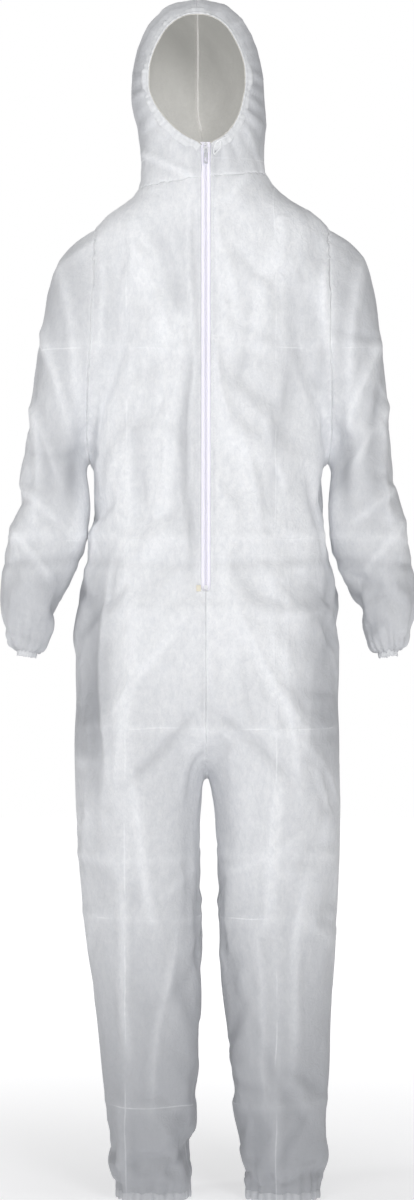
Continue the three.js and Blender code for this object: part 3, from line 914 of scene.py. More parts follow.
def long_folds(points):
    """Folds that the hang of the garment makes: shoulder tip to armpit, under the arms, down the fronts."""
    x, y, z = points[:, 0] / MM, points[:, 1] / MM, heights(points)
    lift = np.zeros(len(points))
    # x and height of each end, half width, and how high the fold stands.
    runs = [
        (226, 1408, 196, 1150, 15, 5.0), (262, 1330, 206, 1120, 13, 4.5), (270, 1180, 215, 1070, 12, 4.0),
        (172, 1372, 156, 1262, 13, 6.0), (-146, 960, -150, 590, 8, 3.5), (166, 1300, 150, 1180, 12, -3.0),
        (286, 1060, 206, 1000, 12, 3.5), (292, 1000, 222, 930, 11, 3.5), (262, 1290, 240, 1080, 14, -3.5),
        (-218, 1392, -192, 1140, 15, 5.0), (-250, 1318, -205, 1105, 13, 4.5),
        (-272, 1170, -216, 1060, 12, 4.0),
        (-166, 1395, -160, 1230, 10, 3.0), (-284, 1050, -206, 990, 12, 3.5), (-290, 985, -224, 915, 11, 3.5),
        (-258, 1270, -236, 1070, 14, -3.5), (-244, 1240, -262, 960, 12, 3.0), (250, 1240, 270, 960, 12, 3.0),
        (-118, 1440, -46, 1220, 26, 6.0), (-34, 1300, -50, 1150, 24, 7.0), (-54, 1210, -84, 930, 26, 6.0),
        (-84, 1420, -34, 1290, 20, -4.0), (112, 1430, 56, 1230, 24, 4.5), (-120, 1180, -78, 980, 22, -4.0),
        (14, 1470, 44, 1290, 22, 4.5), (14, 1262, 34, 1110, 16, 7.0), (40, 1180, 80, 940, 24, 5.5),
        (118, 1250, 96, 1000, 20, -4.0), (60, 1330, 44, 1190, 18, -4.0), (-20, 1290, -30, 940, 12, -4.0),
        (-19, 1500, -23, 1100, 7, 3.0), (20, 1480, 22, 1250, 7, 2.0), (-27, 1130, -21, 930, 7, 2.6),
        (-88, 1536, -18, 1502, 10, 3.6), (72, 1512, 26, 1466, 10, 2.5),
        (-26, 880, -150, 690, 18, 4.0), (30, 880, 150, 690, 18, 4.0), (-10, 720, -120, 620, 16, -3.5),
        (10, 720, 125, 620, 16, -3.5), (120, 640, 74, 380, 16, 4.0), (-115, 640, -64, 380, 16, 4.0),
        (150, 520, 118, 180, 14, 3.5), (-135, 520, -105, 180, 14, 3.5), (66, 420, 96, 120, 12, 3.0),
        (-46, 420, -80, 120, 12, 3.0), (-110, 900, -128, 560, 16, 3.0), (112, 930, 132, 560, 16, 3.0),
    ]
    front = 1 - smoothstep(-40, 10, y)
    for x0, z0, x1, z1, width, height in runs:
        start, run = np.array([x0, z0]), np.array([x1 - x0, z1 - z0], float)
        length = np.linalg.norm(run)
        run /= length
        off = np.stack([x, z], 1) - start
        along = off @ run
        across = off @ np.array([-run[1], run[0]]) + 6 * np.sin(along / 55 + x0)
        fade = smoothstep(-20, length * 0.25, along) * (1 - smoothstep(length * 0.7, length + 20, along))
        lift += 1.35 * height * tent(across, width) ** 1.3 * fade * front
    return lift


def ripple(turn, count, parts=7):
    """An uneven ripple round a loop with about count folds, from -1 to 1."""
    wave = np.zeros(len(turn))
    for _ in range(parts):
        n = int(count * rng.uniform(0.7, 1.35))
        wave += np.sin(n * turn + rng.uniform(0, 2 * math.pi)) * rng.uniform(0.5, 1)
    return wave / (0.6 * parts**0.5 + 1)


def gathers(points):
    """Folds that run out of the elastics at wrists, ankles, face and the back of the waist."""
    x, y, z = points[:, 0] / MM, points[:, 1] / MM, heights(points)
    lift = np.zeros(len(points))
    for side in SIDES.values():
        at, down = wrist_plane(side, 0)
        at, down = np.array(at), np.array(down)
        off = (points - at) / MM
        along = -off @ down
        arm = (side * x > 195) & (z < 940) & (along < 160)
        turn = np.arctan2(off[:, 1] - 2, off @ np.cross(down, [0, 1, 0]))
        long = ripple(turn, 13) * np.exp(-np.clip(along - 12, 0, None) / 45) * 2.6
        short = ripple(turn, 24) * np.exp(-np.clip(along - 8, 0, None) / 18) * 1.7
        lift += np.where(arm, long + short, 0)
        middle = side * (LEG[1][1] + LEG[1][2]) / 2 + LEG_LEAN
        leg = (side * (x - LEG_LEAN) > 0) & (z < 260)
        turn = np.arctan2(y - 3, x - middle)
        long = ripple(turn, 12) * np.exp(-np.clip(z - 12, 0, None) / 50) * 3.4
        short = ripple(turn, 26) * np.exp(-np.clip(z - 8, 0, None) / 20) * 2.0
        lift += np.where(leg, long + short, 0)
    front = (y < HOOD_FRONT) & (z > HOOD_LOW)
    reach = reach_of(points)
    turn = np.arctan2(x, z - FACE_MIDDLE[1])
    fine = ripple(turn, 52) * np.exp(-np.clip(reach - 8, 0, None) / 14) * 0.8
    broad = ripple(turn, 22) * np.exp(-np.clip(reach - 10, 0, None) / 30) * 2.0
    lift += np.where(front, (fine + broad) * smoothstep(1, 15, reach), 0)
    casing = (y > 40) & (np.abs(x) < 150)
    drawn = np.exp(-((z - WAIST) / 55.0) ** 2) * (1 - smoothstep(105, 150, np.abs(x)))
    lift += np.where(casing, ripple(x / 40, 11) * drawn * 3.0, 0)
    return lift


def seam_points(cloth):
    """The numbers of the points where two panels meet."""
    numbers = np.zeros(len(cloth.data.polygons), int)
    totals = np.zeros(len(cloth.data.polygons), int)
    corners = np.zeros(len(cloth.data.loops), int)
    cloth.data.polygons.foreach_get("material_index", numbers)
    cloth.data.polygons.foreach_get("loop_total", totals)
    cloth.data.loops.foreach_get("vertex_index", corners)
    owner = np.full(len(cloth.data.vertices), -1)
    seam = np.zeros(len(cloth.data.vertices), bool)
    face_number = np.repeat(numbers, totals)
    for n in range(len(PANELS)):
        mine = np.zeros(len(owner), bool)
        mine[corners[face_number == n]] = True
        seam |= mine & (owner >= 0)
        owner[mine] = n
    return np.where(seam)[0]


def distance_to(points, chosen):
    """Each point's distance to the nearest of the chosen ones, in mm."""
    tree = KDTree(len(chosen))
    for n, i in enumerate(chosen):
        tree.insert(points[i], n)
    tree.balance()
    return np.array([tree.find(p)[2] for p in points]) / MM


# How far the garment hangs to the wearer's left, and at what height.
ASIDE = [(0, 0), (1, 640), (3, 900), (3, 1035), (6, 1200), (9, 1440), (4, 1475), (-5, 1510), (-7, 1560)]


def hood_lean(z):
    """How far the hood's middle leans to the wearer's right, in mm, by height."""
    return -13 * smoothstep(1530, 1625, z)


def hang(points):
    """The garment hangs a little askew: the hood to the wearer's right, the shoulders to the left."""
    x, z = points[:, 0] / MM, heights(points)
    aside = by_height(ASIDE, z) * smoothstep(22, 90, np.abs(x))
    aside = np.where(z > 1530, np.minimum(aside, hood_lean(z)), aside)
    return points + np.stack([aside * MM, np.zeros(len(z)), np.zeros(len(z))], 1)


# Patches of painted light and shade on the front: x and height of the middle, half width, half height,
# and how much greyer, below 0 a painted highlight.
PAINTED_PATCHES = [
    (-50, 1240, 22, 60, -0.16), (24, 1140, 13, 90, -0.18), (-98, 1200, 32, 110, 0.14),
    (102, 1200, 34, 120, 0.14), (-228, 1085, 24, 70, 0.30), (244, 1080, 24, 80, 0.30),
    (-200, 1062, 10, 44, 0.50), (200, 1062, 10, 44, 0.50), (171, 1330, 9, 52, -0.40),
    (-158, 760, 14, 170, 0.30), (30, 840, 26, 100, -0.14), (-60, 1420, 60, 30, 0.10),
    (-258, 880, 22, 60, -0.10), (262, 880, 22, 60, -0.12), (70, 560, 30, 110, -0.10),
    (-30, 520, 18, 120, 0.12),
]
EDGE_REACH = 2.0  # the face edge's points lie this near its outline


def painted_shade_map(x, y, z, folds, off_seam):
    """The painted light and shade at each point: how much greyer the cloth is drawn, from the heights of its
    folds, its distance to a seam and how the light falls off.
    """
    wide = np.abs(x)
    # Painted shade where less light comes back: down the legs, on the sleeves, at the hips and round the
    # hood.
    leg = 1 - smoothstep(182, 215, wide) * smoothstep(700, 760, z)
    greyed = 0.06 + 0.20 * (1 - smoothstep(650, 900, z)) * leg + 0.60 * (1 - smoothstep(60, 560, z))
    # Painted light and shade on the folds: a ridge is drawn whiter and a hollow greyer.
    greyed -= 0.052 * np.clip(folds, -4, 5)
    for at_x, at_z, half_width, half_height, grey in PAINTED_PATCHES:
        greyed += grey * np.exp(-(((x - at_x) / half_width) ** 2) - ((z - at_z) / half_height) ** 2) * (y < 20)
    # Painted shade at the sleeves, the chest's sides, the hips, the neck and the hood's sides, and a painted
    # shadow beside the zip on the wearer's right.
    sleeve = smoothstep(160, 215, wide) * smoothstep(820, 1000, z)
    chest_side = smoothstep(90, 150, wide) * smoothstep(1130, 1300, z) * (1 - smoothstep(1330, 1420, z))
    hip = smoothstep(120, 172, wide) * smoothstep(560, 720, z) * (1 - smoothstep(880, 980, z))
    hood_side = smoothstep(60, 95, wide) * smoothstep(1500, 1560, z)
    shadow_beside_zip = np.exp(-(((x + 24) / 26) ** 2)) * smoothstep(900, 1000, z) * (1 - smoothstep(1380, 1450, z))
    greyed += 0.24 * sleeve
    greyed += 0.22 * chest_side
    greyed += 0.50 * hip
    greyed += 0.26 * smoothstep(1440, 1540, z) + 0.36 * hood_side
    greyed += 0.20 * shadow_beside_zip
    # Whiter right along the seams, and painted shade at the top of the hood's back, seen inside through the
    # face opening.
    greyed -= 0.24 * np.exp(-((off_seam / 2.0) ** 2))
    greyed += 0.55 * smoothstep(1600, 1740, z) * smoothstep(0, 60, y)
    return np.clip(greyed, 0, 1)


def store_painted_shade(obj, values):
    """Stores the painted light and shade at each point of a piece, as its greyed attribute."""
    layer = obj.data.attributes.new("greyed", "FLOAT", "POINT")
    layer.data.foreach_set("value", values.astype(np.float32))


def finish_cloth(cloth):
    """Adds the fine folds to the draped cloth, and stores the painted light and shade at each point."""
    fine = cloth.modifiers.new("finer", "SUBSURF")
    fine.levels = fine.render_levels = 1
    flatten(cloth)
    points, normals = points_of(cloth), normals_of(cloth)
    x, y, z = points[:, 0] / MM, points[:, 1] / MM, heights(points)
    front = np.where((y < HOOD_FRONT) & (z > HOOD_LOW))[0]
    reach, outline = face_reach(x[front], z[front])
    on_edge = np.abs(reach) < EDGE_REACH
    edge = front[on_edge]
    points[edge, 0] = outline[on_edge, 0] * MM
    points[edge, 2] = up(outline[on_edge, 1])
    off_seam = distance_to(points, seam_points(cloth))
    free = pin_free(points)
    folds = (shipping_creases(points, normals) + crumples(points, normals) + long_folds(points)) * free
    lift = folds + gathers(points)
    # A seam is drawn in by its thread, and the cloth swells a little beside it.
    lift += -0.15 * np.exp(-((off_seam / 2.5) ** 2)) + 0.5 * np.exp(-(((off_seam - 8) / 5) ** 2))
    # The fronts are folded back along the zip and sewn down.
    by_zip = (y < 0) & (z > ZIP_BOTTOM - 4) & (z < ZIP_TOP + 6)
    beside = np.abs(x)
    double = 1.0 * (1 - smoothstep(TAPE_FOLD - 2, TAPE_FOLD, beside))
    sewn = 0.9 * np.exp(-(((beside - TAPE_FOLD) / 2.5) ** 2))
    lift += np.where(by_zip, double - sewn, 0)
    set_points(cloth, hang(points + normals * (lift * MM)[:, None]))
    store_painted_shade(cloth, painted_shade_map(x, y, z, folds, off_seam))


def pin_free(points):
    """0 at the hems, face edge and zip, where the small folds must not reach, and 1 away from them."""
    x, y, z = points[:, 0] / MM, points[:, 1] / MM, heights(points)
    free = smoothstep(HEM_WIDTH, 60, z)
    free *= smoothstep(4, 26, reach_of(points))
    by_zip = (y < 0) & (z > ZIP_BOTTOM - 20)
    free *= np.where(by_zip, smoothstep(6, 20, np.abs(x)), 1)
    for side in SIDES.values():
        at, down = wrist_plane(side, 0)
        along = -(points - np.array(at)) @ np.array(down) / MM
        free *= np.where((side * x > 190) & (z < 900), smoothstep(HEM_WIDTH, 60, along), 1)
    return free


def panels_of(cloth):
    """One object for each panel, parted at the seams."""
    made = {}
    for n, name in enumerate(PANELS):
        mesh = bmesh.new()
        mesh.from_mesh(cloth.data)
        bmesh.ops.delete(mesh, geom=[f for f in mesh.faces if f.material_index != n], context="FACES")
        for f in mesh.faces:
            f.material_index = 0
        data = bpy.data.meshes.new(name)
        mesh.to_mesh(data)
        mesh.free()
        panel = add_object(name, data)
        wear(panel, OUTSIDE, INSIDE)
        wall = panel.modifiers.new("cloth thickness", "SOLIDIFY")
        wall.thickness = CLOTH_THICK * MM
        wall.offset = -1
        wall.material_offset = 1
        wall.material_offset_rim = 0
        made[name] = panel
    return made


form = filled_form()
open_and_mark(form)
drape(form)
bring_arms_in(form)
finish_cloth(form)
cloth_tree = BVHTree.FromPolygons(
    [v.co[:] for v in form.data.vertices], [tuple(p.vertices) for p in form.data.polygons]
)
panels = panels_of(form)


def edge_loops(obj):
    """The open edges of a mesh as ordered loops of point numbers."""
    mesh = bmesh.new()
    mesh.from_mesh(obj.data)
    mesh.verts.index_update()
    left = dict.fromkeys(e for e in mesh.edges if e.is_boundary)
    loops = []
    while left:
        e = next(iter(left))
        del left[e]
        first, at = e.verts
        loop = [first.index, at.index]
        while True:
            step = next((f for f in at.link_edges if f in left), None)
            if step is None:
                break
            del left[step]
            at = step.other_vert(at)
            if at is first:
                break
            loop.append(at.index)
        loops.append(loop)
    mesh.free()
    return loops


loops = edge_loops(form)
loop_points = points_of(form)
loop_normals = normals_of(form)


def spaced(points, normals, step, closed):
    """The points and normals again, evenly spaced step mm apart."""
    if closed:
        points, normals = np.vstack([points, points[:1]]), np.vstack([normals, normals[:1]])
    along = np.concatenate([[0], np.cumsum(np.linalg.norm(np.diff(points, axis=0), axis=1))]) / MM
    count = max(8, int(along[-1] / step))
    at = np.linspace(0, along[-1], count, endpoint=not closed)
    p = np.stack([np.interp(at, along, points[:, k]) for k in range(3)], 1)
    n = np.stack([np.interp(at, along, normals[:, k]) for k in range(3)], 1)
    return p, n / np.linalg.norm(n, axis=1)[:, None], at


def eased(values, rounds, closed):
    """The rows averaged with their neighbours, some rounds over."""
    for _ in range(rounds):
        if closed:
            values = (np.roll(values, 1, 0) + 2 * values + np.roll(values, -1, 0)) / 4
        else:
            values = np.vstack([values[:1], (values[:-2] + 2 * values[1:-1] + values[2:]) / 4, values[-1:]])
    return values


def band(name, points, normals, outward, shapes, closed):
    """A strip along the points, with a shape of (outward, normal) corners in mm at each of them."""
    count, corners = len(points), len(shapes[0])
    verts = [
        points[k] + (outward[k] * a + normals[k] * b) * MM
        for k in range(count) for a, b in shapes[k]
    ]
    faces = []
    for k in range(count if closed else count - 1):
        j = (k + 1) % count
        for c in range(corners):
            d = (c + 1) % corners
            faces.append((k * corners + c, k * corners + d, j * corners + d, j * corners + c))
    if not closed:
        faces.append(tuple(range(corners)))
        faces.append(tuple(reversed(range((count - 1) * corners, count * corners))))
    obj = make_object(name, verts, faces)
    mesh = bmesh.new()
    mesh.from_mesh(obj.data)
    bmesh.ops.recalc_face_normals(mesh, faces=mesh.faces)
    mesh.to_mesh(obj.data)
    mesh.free()
    shade_smooth(obj)
    return obj


def hem_profile(width, thick, pucker, lift):
    """A folded hem round the elastic: two walls that close below the edge and hold the cloth above."""
    w, t = width / 2, thick / 2
    corners = [
        (w + pucker, 0), (w * 0.9 + pucker, t * 0.75), (w * 0.5 + pucker, t * 1.05), (0, t * 1.1),
        (-w * 0.5, t * 1.0), (-w * 0.85, t * 0.75), (-w, 0.45),
        (-w, -0.75), (-w * 0.6, -t), (0, -t * 1.1), (w * 0.6 + pucker, -t), (w * 0.92 + pucker, -t * 0.6),
    ]
    return [(out, high + lift) for out, high in corners]


def rolled_profile(width, thick, pucker, lift):
    """The hem round the face: a flat folded strip whose inner edge is rolled into a bead."""
    t = thick / 2
    return [
        (2.0 + pucker, -0.3 + lift), (1.9 + pucker, 1.0 + lift), (0.6 + pucker, 1.9 + lift),
        (-1.0, 1.5 + lift),
        (-1.9, 0.9 + lift), (-4.0, t * 0.95 + lift), (-width * 0.75, t * 0.8 + lift * 1.5),
        (-width, 0.35 + lift),
        (-width, -0.75 + lift), (-width * 0.6, -t + lift), (-2.0, -t * 0.9 + lift),
        (0.4 + pucker, -1.7 + lift),
    ]


def flat_strip(width, share, thick):
    """An elastic's shape: flat, this share of the width to each side, and thick to each face."""
    edge, face = width * share, width * (share - 0.02)
    return [(edge, 0), (face, thick), (-face, thick), (-edge, 0), (-face, -thick), (face, -thick)]


def gathered_hem(name, loop, width, thick, step, folds, grey, outward_at, closed=True):
    """A gathered hem, with its elastic, along an open edge of the cloth."""
    points, normals, at = spaced(loop_points[loop], loop_normals[loop], step, closed)
    points, normals = eased(points, 2 if closed else 26, closed), eased(normals, 4 if closed else 40, closed)
    normals /= np.linalg.norm(normals, axis=1)[:, None]
    outward = outward_at(points, normals)
    turn = at / at[-1] * 2 * math.pi
    pucker = ripple(turn, folds) * 0.7
    bulge = ripple(turn, folds) * 0.7
    if closed:
        shapes = [hem_profile(width, thick, p, b * 0.5) for p, b in zip(pucker, bulge)]
    else:
        shapes = [rolled_profile(width, thick, p * 0.35, b * 0.45) for p, b in zip(pucker, bulge)]
    hem = band(name + "_hem", points, normals, outward, shapes, closed)
    wear(hem, HEM_CLOTH)
    # Painted shade on the hem, lighter where it bulges out.
    store_painted_shade(hem, grey - 0.12 * np.repeat(np.clip(bulge, -1, 1), len(shapes[0])))
    strip = flat_strip(width, 0.28, 0.4)
    elastic = band(name + "_elastic_band", points, normals, outward, [strip] * len(points), closed)
    wear(elastic, ELASTIC)
    return hem, elastic


def along_path(points):
    """The direction of travel at each point of a path."""
    run = np.gradient(points, axis=0)
    return run / np.linalg.norm(run, axis=1)[:, None]


FACE_CENTRE = np.array(place(-14, -85, FACE_MIDDLE[1]))


def into_face(points, normals):
    """The direction from the cloth's edge into the face opening."""
    out = np.cross(along_path(points), normals)
    turned = np.sum(out * (FACE_CENTRE - points), 1) < 0
    out[turned] *= -1
    return out / np.linalg.norm(out, axis=1)[:, None]


def face_edge(loop):
    """The part of an open edge that runs round the face, from one side of the zip to the other."""
    at = loop_points[loop]
    x, z = at[:, 0] / MM, heights(at)
    face = ~((np.abs(x) < SLOT + 2.5) & (z < ZIP_TOP + 2))
    first = np.where(face & ~np.roll(face, 1))[0][0]
    loop = list(np.roll(loop, -first))
    return loop[: int(face.sum())]


def down_leg(points, normals):
    return np.tile([0, 0, -1.0], (len(points), 1))


def down_arm(side):
    down = np.array(wrist_plane(side, 0)[1])
    return lambda points, normals: np.tile(down, (len(points), 1))


# Each hem's painted shade: most at the ankles, where the light falls off towards the floor, less at the
# wrists and face.
hems = {}
for loop in loops:
    centre = loop_points[loop].mean(0)
    x, z = centre[0] / MM, (centre[2] - ANKLE_END) / MM
    if z < 40 and len(loop) > 30:
        end = "ankle_left" if x > LEG_LEAN else "ankle_right"
        hems[end] = gathered_hem(end, loop, HEM_WIDTH, 4.2, 2.2, 30, 0.72, down_leg)
    elif abs(x) > 200 and z < 860 and len(loop) > 20:
        end = "wrist_left" if x > 0 else "wrist_right"
        hems[end] = gathered_hem(end, loop, HEM_WIDTH, 4.2, 2.0, 26, 0.34, down_arm(LEFT if x > 0 else RIGHT))
    elif z > 1200 and len(loop) > 100:
        edge = face_edge(loop)
        hems["face"] = gathered_hem("face", edge, FACE_HEM_WIDTH, 3.4, 1.8, 58, 0.30, into_face, False)


# ---- Waist casing and the seam inside the hood


def on_cloth(point, inwards=0.0):
    """The nearest point of the cloth and its outward direction, moved inwards by some mm."""
    at, normal, _, _ = cloth_tree.find_nearest(Vector(point))
    return np.array(at - normal * inwards * MM), np.array(normal)


def waist_band():
    """The strip sewn across the inside of the back, and the elastic in it that draws the waist in."""
    low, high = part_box("waist_casing")
    half = (high.x - low.x) / 2
    across = np.linspace(-half, half, 161)
    found = [on_cloth((x, high.y, up(WAIST)), 3.2) for x in across]
    points, normals = (np.array([f[k] for f in found]) for k in (0, 1))
    points, normals = eased(points, 3, False), eased(normals, 12, False)
    upright = np.tile([0, 0, 1.0], (len(points), 1))
    wave = ripple(across / half * 3, 15) * 0.5
    shapes = [[(8 + w, 0), (5, 1.1), (-5, 1.1), (-8 + w, 0), (-5, -1.1), (5, -1.1)] for w in wave]
    casing = band("waist_elastic_casing", points, normals, upright, shapes, False)
    wear(casing, HEM_CLOTH)
    strip = [(4.4, 0), (4.2, 0.5), (-4.2, 0.5), (-4.4, 0), (-4.2, -0.5), (4.2, -0.5)]
    elastic = band("waist_elastic_band", points, normals, upright, [strip] * len(points), False)
    wear(elastic, ELASTIC)
    return casing, elastic


def hood_seam():
    """The turned-in edges of the hood's middle seam, which stand up as a ridge inside it."""
    centre = Vector(FACE_CENTRE) + Vector((0, 0.085, 0))
    points, normals = [], []
    for turn in np.linspace(math.radians(-42), math.radians(118), 90):
        ray = Vector((0, math.sin(turn), math.cos(turn)))
        hit, normal, _, _ = cloth_tree.ray_cast(centre, ray)
        if hit is None:
            continue
        lean = hood_lean((hit.z - ANKLE_END) / MM)
        at, normal = on_cloth((lean * MM, hit.y, hit.z), CLOTH_THICK)
        points.append(at)
        normals.append(normal)
    points, normals = eased(np.array(points), 2, False), eased(np.array(normals), 8, False)
    aside = np.tile([1.0, 0, 0], (len(points), 1))
    shape = [(-0.6, 0.1), (0.6, 0.1), (0.8, -1.6), (1.5, -4.2), (1.0, -4.6), (-0.1, -1.9)]
    seam = band("hood_middle_seam", points, normals, aside, [shape] * len(points), False)
    wear(seam, SEAM_CLOTH)
    return seam


def hem_end():
    """The end of the face hem, turned back beside the zip's head as a slim loop."""
    turn = np.linspace(0, 2 * math.pi, 48, endpoint=False)
    x = 18.5 + 3.2 * np.cos(turn) + 4.0 * np.sin(turn)
    z = 1545 + 17 * np.sin(turn)
    found = [on_cloth(place(a, -90, b), -1.3) for a, b in zip(x, z)]
    points, normals = (np.array([f[k] for f in found]) for k in (0, 1))
    points, normals = eased(points, 3, True), eased(normals, 6, True)
    outward = np.cross(along_path(points), normals)
    shape = [(-1.1, -0.5), (-0.9, 0.6), (0, 1.0), (0.9, 0.6), (1.1, -0.5), (0, -0.9)]
    loop = band("face_hem_end", points, normals, outward, [shape] * len(points), True)
    wear(loop, HEM_CLOTH)
    return loop


casing, waist_elastic = waist_band()
hood_ridge = hood_seam()
hem_loop = hem_end()


# ---- Zip

ZIP_HEAD = place(0, -85, ZIP_TOP)
ZIP_DOWN = (place(0, -140, ZIP_BOTTOM) - ZIP_HEAD).normalized()
ZIP_LENGTH = (place(0, -140, ZIP_BOTTOM) - ZIP_HEAD).length / MM
ZIP_IN = Vector((0, -ZIP_DOWN.z, ZIP_DOWN.y))
COIL_PITCH = 2.0


def on_zip(x, deep, z):
    """A point beside the zip: x across, deep into the garment, z up from the zip's head, all in mm."""
    return ZIP_HEAD + Vector((x * MM, 0, 0)) + ZIP_IN * deep * MM - ZIP_DOWN * z * MM


def on_zip_mesh(obj):
    """Moves a mesh that was drawn in the zip's own mm to its place in the frame."""
    turn = Matrix(((1, 0, 0), tuple(ZIP_IN), tuple(-ZIP_DOWN))).transposed().to_4x4()
    obj.data.transform(Matrix.Translation(ZIP_HEAD) @ turn @ Matrix.Scale(MM, 4))
    return obj


SHARP = 0.7  # an edge that turns by more than this, in radians, is rounded


def plate(name, outline, window, near, far, round_by, material):
    """A flat part with the outline, as (x, z) points, and perhaps one window, its edges rounded."""
    count = len(outline)
    mesh = bmesh.new()
    rings = []
    for deep in (near, far):
        rings.append([mesh.verts.new((x, deep, z)) for x, z in outline])
        if window:
            rings.append([mesh.verts.new((x, deep, z)) for x, z in window])
    step = 2 if window else 1
    for k in range(count):
        j = (k + 1) % count
        mesh.faces.new((rings[0][k], rings[0][j], rings[step][j], rings[step][k]))
        if window:
            mesh.faces.new((rings[1][k], rings[3][k], rings[3][j], rings[1][j]))
            mesh.faces.new((rings[0][k], rings[1][k], rings[1][j], rings[0][j]))
            mesh.faces.new((rings[2][k], rings[2][j], rings[3][j], rings[3][k]))
    if not window:
        mesh.faces.new(rings[0])
        mesh.faces.new(rings[1])
    bmesh.ops.recalc_face_normals(mesh, faces=mesh.faces)
    sharp = [e for e in mesh.edges if len(e.link_faces) == 2 and e.calc_face_angle() > SHARP]
    bmesh.ops.bevel(
        mesh, geom=sharp, offset=round_by, segments=2, affect="EDGES", profile=0.5, clamp_overlap=True,
    )
    data = bpy.data.meshes.new(name)
    mesh.to_mesh(data)
    mesh.free()
    obj = add_object(name, data)
    wear(obj, material)
    shade_smooth(obj)
    return obj


def round_outline(half_width, low, high, corner, count=8):
    """An upright rectangle with round corners, as (x, z) points."""
    out = []
    for cx, cz, first in ((1, 1, 0), (-1, 1, 90), (-1, -1, 180), (1, -1, 270)):
        for k in range(count):
            a = math.radians(first + 90 * k / (count - 1))
            x = cx * (half_width - corner) + corner * math.cos(a)
            z = (high - corner if cz > 0 else low + corner) + corner * math.sin(a)
            out.append((x, z))
    return out


def join(name, objects):
    """One mesh from several, each of which keeps its materials."""
    base = objects[0]
    materials = []
    whole = bmesh.new()
    for obj in objects:
        shift = []
        for material in obj.data.materials:
            if material not in materials:
                materials.append(material)
            shift.append(materials.index(material))
        for polygon in obj.data.polygons:
            polygon.material_index = shift[polygon.material_index]
        whole.from_mesh(obj.data)
    data = bpy.data.meshes.new(name)
    whole.to_mesh(data)
    whole.free()
    made = add_object(name, data)
    wear(made, *materials)
    for obj in objects:
        bpy.data.objects.remove(obj)
    return made


PIN_DEEP = -2.8  # the pull's pin stands this far in front of the zip, and PIN_DOWN below its head
PIN_DOWN = -13


def barrel(name, radius, bore, half_width, material):
    """A round part on the pull's pin, along x, with or without a bore."""
    turn = np.linspace(0, 2 * math.pi, 25)[:-1]
    outer = [(radius * math.cos(a), radius * math.sin(a)) for a in turn]
    inner = [(bore * math.cos(a), bore * math.sin(a)) for a in turn] if bore else None
    made = plate(name, outer, inner, -half_width, half_width, 0.15, material)
    across = Matrix.Rotation(math.radians(90), 4, "Z")
    made.data.transform(Matrix.Translation((0, PIN_DEEP, PIN_DOWN)) @ across)
    return made


def zip_slider():
    """The slider: two shield-shaped plates on a web, a bridge over the front one and two coil mouths."""
    shield = [
        (3.2, -8.0), (4.4, -9.4), (4.5, -12.0), (4.0, -15.5), (3.2, -18.2), (2.0, -19.0),
        (-2.0, -19.0), (-3.2, -18.2), (-4.0, -15.5), (-4.5, -12.0), (-4.4, -9.4), (-3.2, -8.0),
    ]
    parts = [
        plate("front_plate", shield, None, -1.2, 0.1, 0.35, ENAMEL),
        plate("back_plate", shield, None, 3.6, 4.6, 0.3, ENAMEL),
        plate("web", round_outline(0.3, -18.5, -8.5, 0.25, 3), None, 0.0, 3.7, 0.05, ENAMEL),
    ]
    parts.append(barrel("pin", 0.75, None, 2.3, GREY_ENAMEL))
    for side in (1, -1):
        ear = [(side * 2.6 + x, z) for x, z in round_outline(0.6, -14.5, -11.5, 0.5, 5)]
        parts.append(plate("ear", ear, None, PIN_DEEP - 1.2, -1.0, 0.2, ENAMEL))
        # Each coil mouth is a thin dark disc, painted shadow on the front plate.
        turn = np.linspace(0, 2 * math.pi, 17)[:-1]
        mouth = [(side * 2.55 + 0.75 * math.cos(a), -9.9 + 0.95 * math.sin(a)) for a in turn]
        parts.append(plate("mouth", mouth, None, -1.32, -1.1, 0.05, SHADE))
    return on_zip_mesh(join("slider_body", parts))


def zip_pull():
    """The pull: an eye round the slider's pin, a neck and a blade with a window."""
    neck = round_outline(1.6, -18.8, -14.0, 0.4)
    blade = round_outline(3.0, -34.0, -18.0, 1.2)
    window = round_outline(1.5, -31.0, -25.0, 0.9)
    parts = [
        barrel("eye", 1.3, 0.95, 1.6, GREY_ENAMEL),
        plate("neck", neck, None, PIN_DEEP - 0.6, PIN_DEEP + 0.6, 0.2, GREY_ENAMEL),
        plate("blade", blade, window, PIN_DEEP - 0.6, PIN_DEEP + 0.6, 0.25, GREY_ENAMEL),
    ]
    return on_zip_mesh(join("slider_pull", parts))


def zip_stops():
    """Crimped stops over the ends of the coils, and the woven tab that closes the zip's lower end."""
    made = {}
    for word, side in SIDES.items():
        outline = [(side * 1.9 + x, z) for x, z in round_outline(1.5, -6.7, -3.0, 0.7, 4)]
        name = f"top_stop_{word}"
        made[name] = on_zip_mesh(plate(name, outline, None, -0.2, 2.6, 0.35, ENAMEL))
    outline = round_outline(3.3, -653.6, -646.8, 1.2, 5)
    made["bottom_stop"] = on_zip_mesh(plate("bottom_stop", outline, None, -0.4, 2.6, 0.4, ENAMEL))
    outline = [(-10.5 + x, z) for x, z in round_outline(3.4, -656.0, -647.0, 0.8, 4)]
    made["lower_tab"] = on_zip_mesh(plate("lower_tab", outline, None, -2.6, -1.6, 0.3, STAPLE))
    return made


def run_tree(obj, tree, inputs):
    """Runs a Geometry Nodes tree on the object, with its named inputs set, and keeps the plain mesh."""
    modifier = obj.modifiers.new("build", "NODES")
    modifier.node_group = tree
    for item in tree.interface.items_tree:
        if item.item_type == "SOCKET" and item.in_out == "INPUT" and item.name in inputs:
            modifier[item.identifier] = inputs[item.name]
    graph = bpy.context.evaluated_depsgraph_get()
    mesh = bpy.data.meshes.new_from_object(obj.evaluated_get(graph))
    name = obj.name
    bpy.data.objects.remove(obj)
    return add_object(name, mesh)


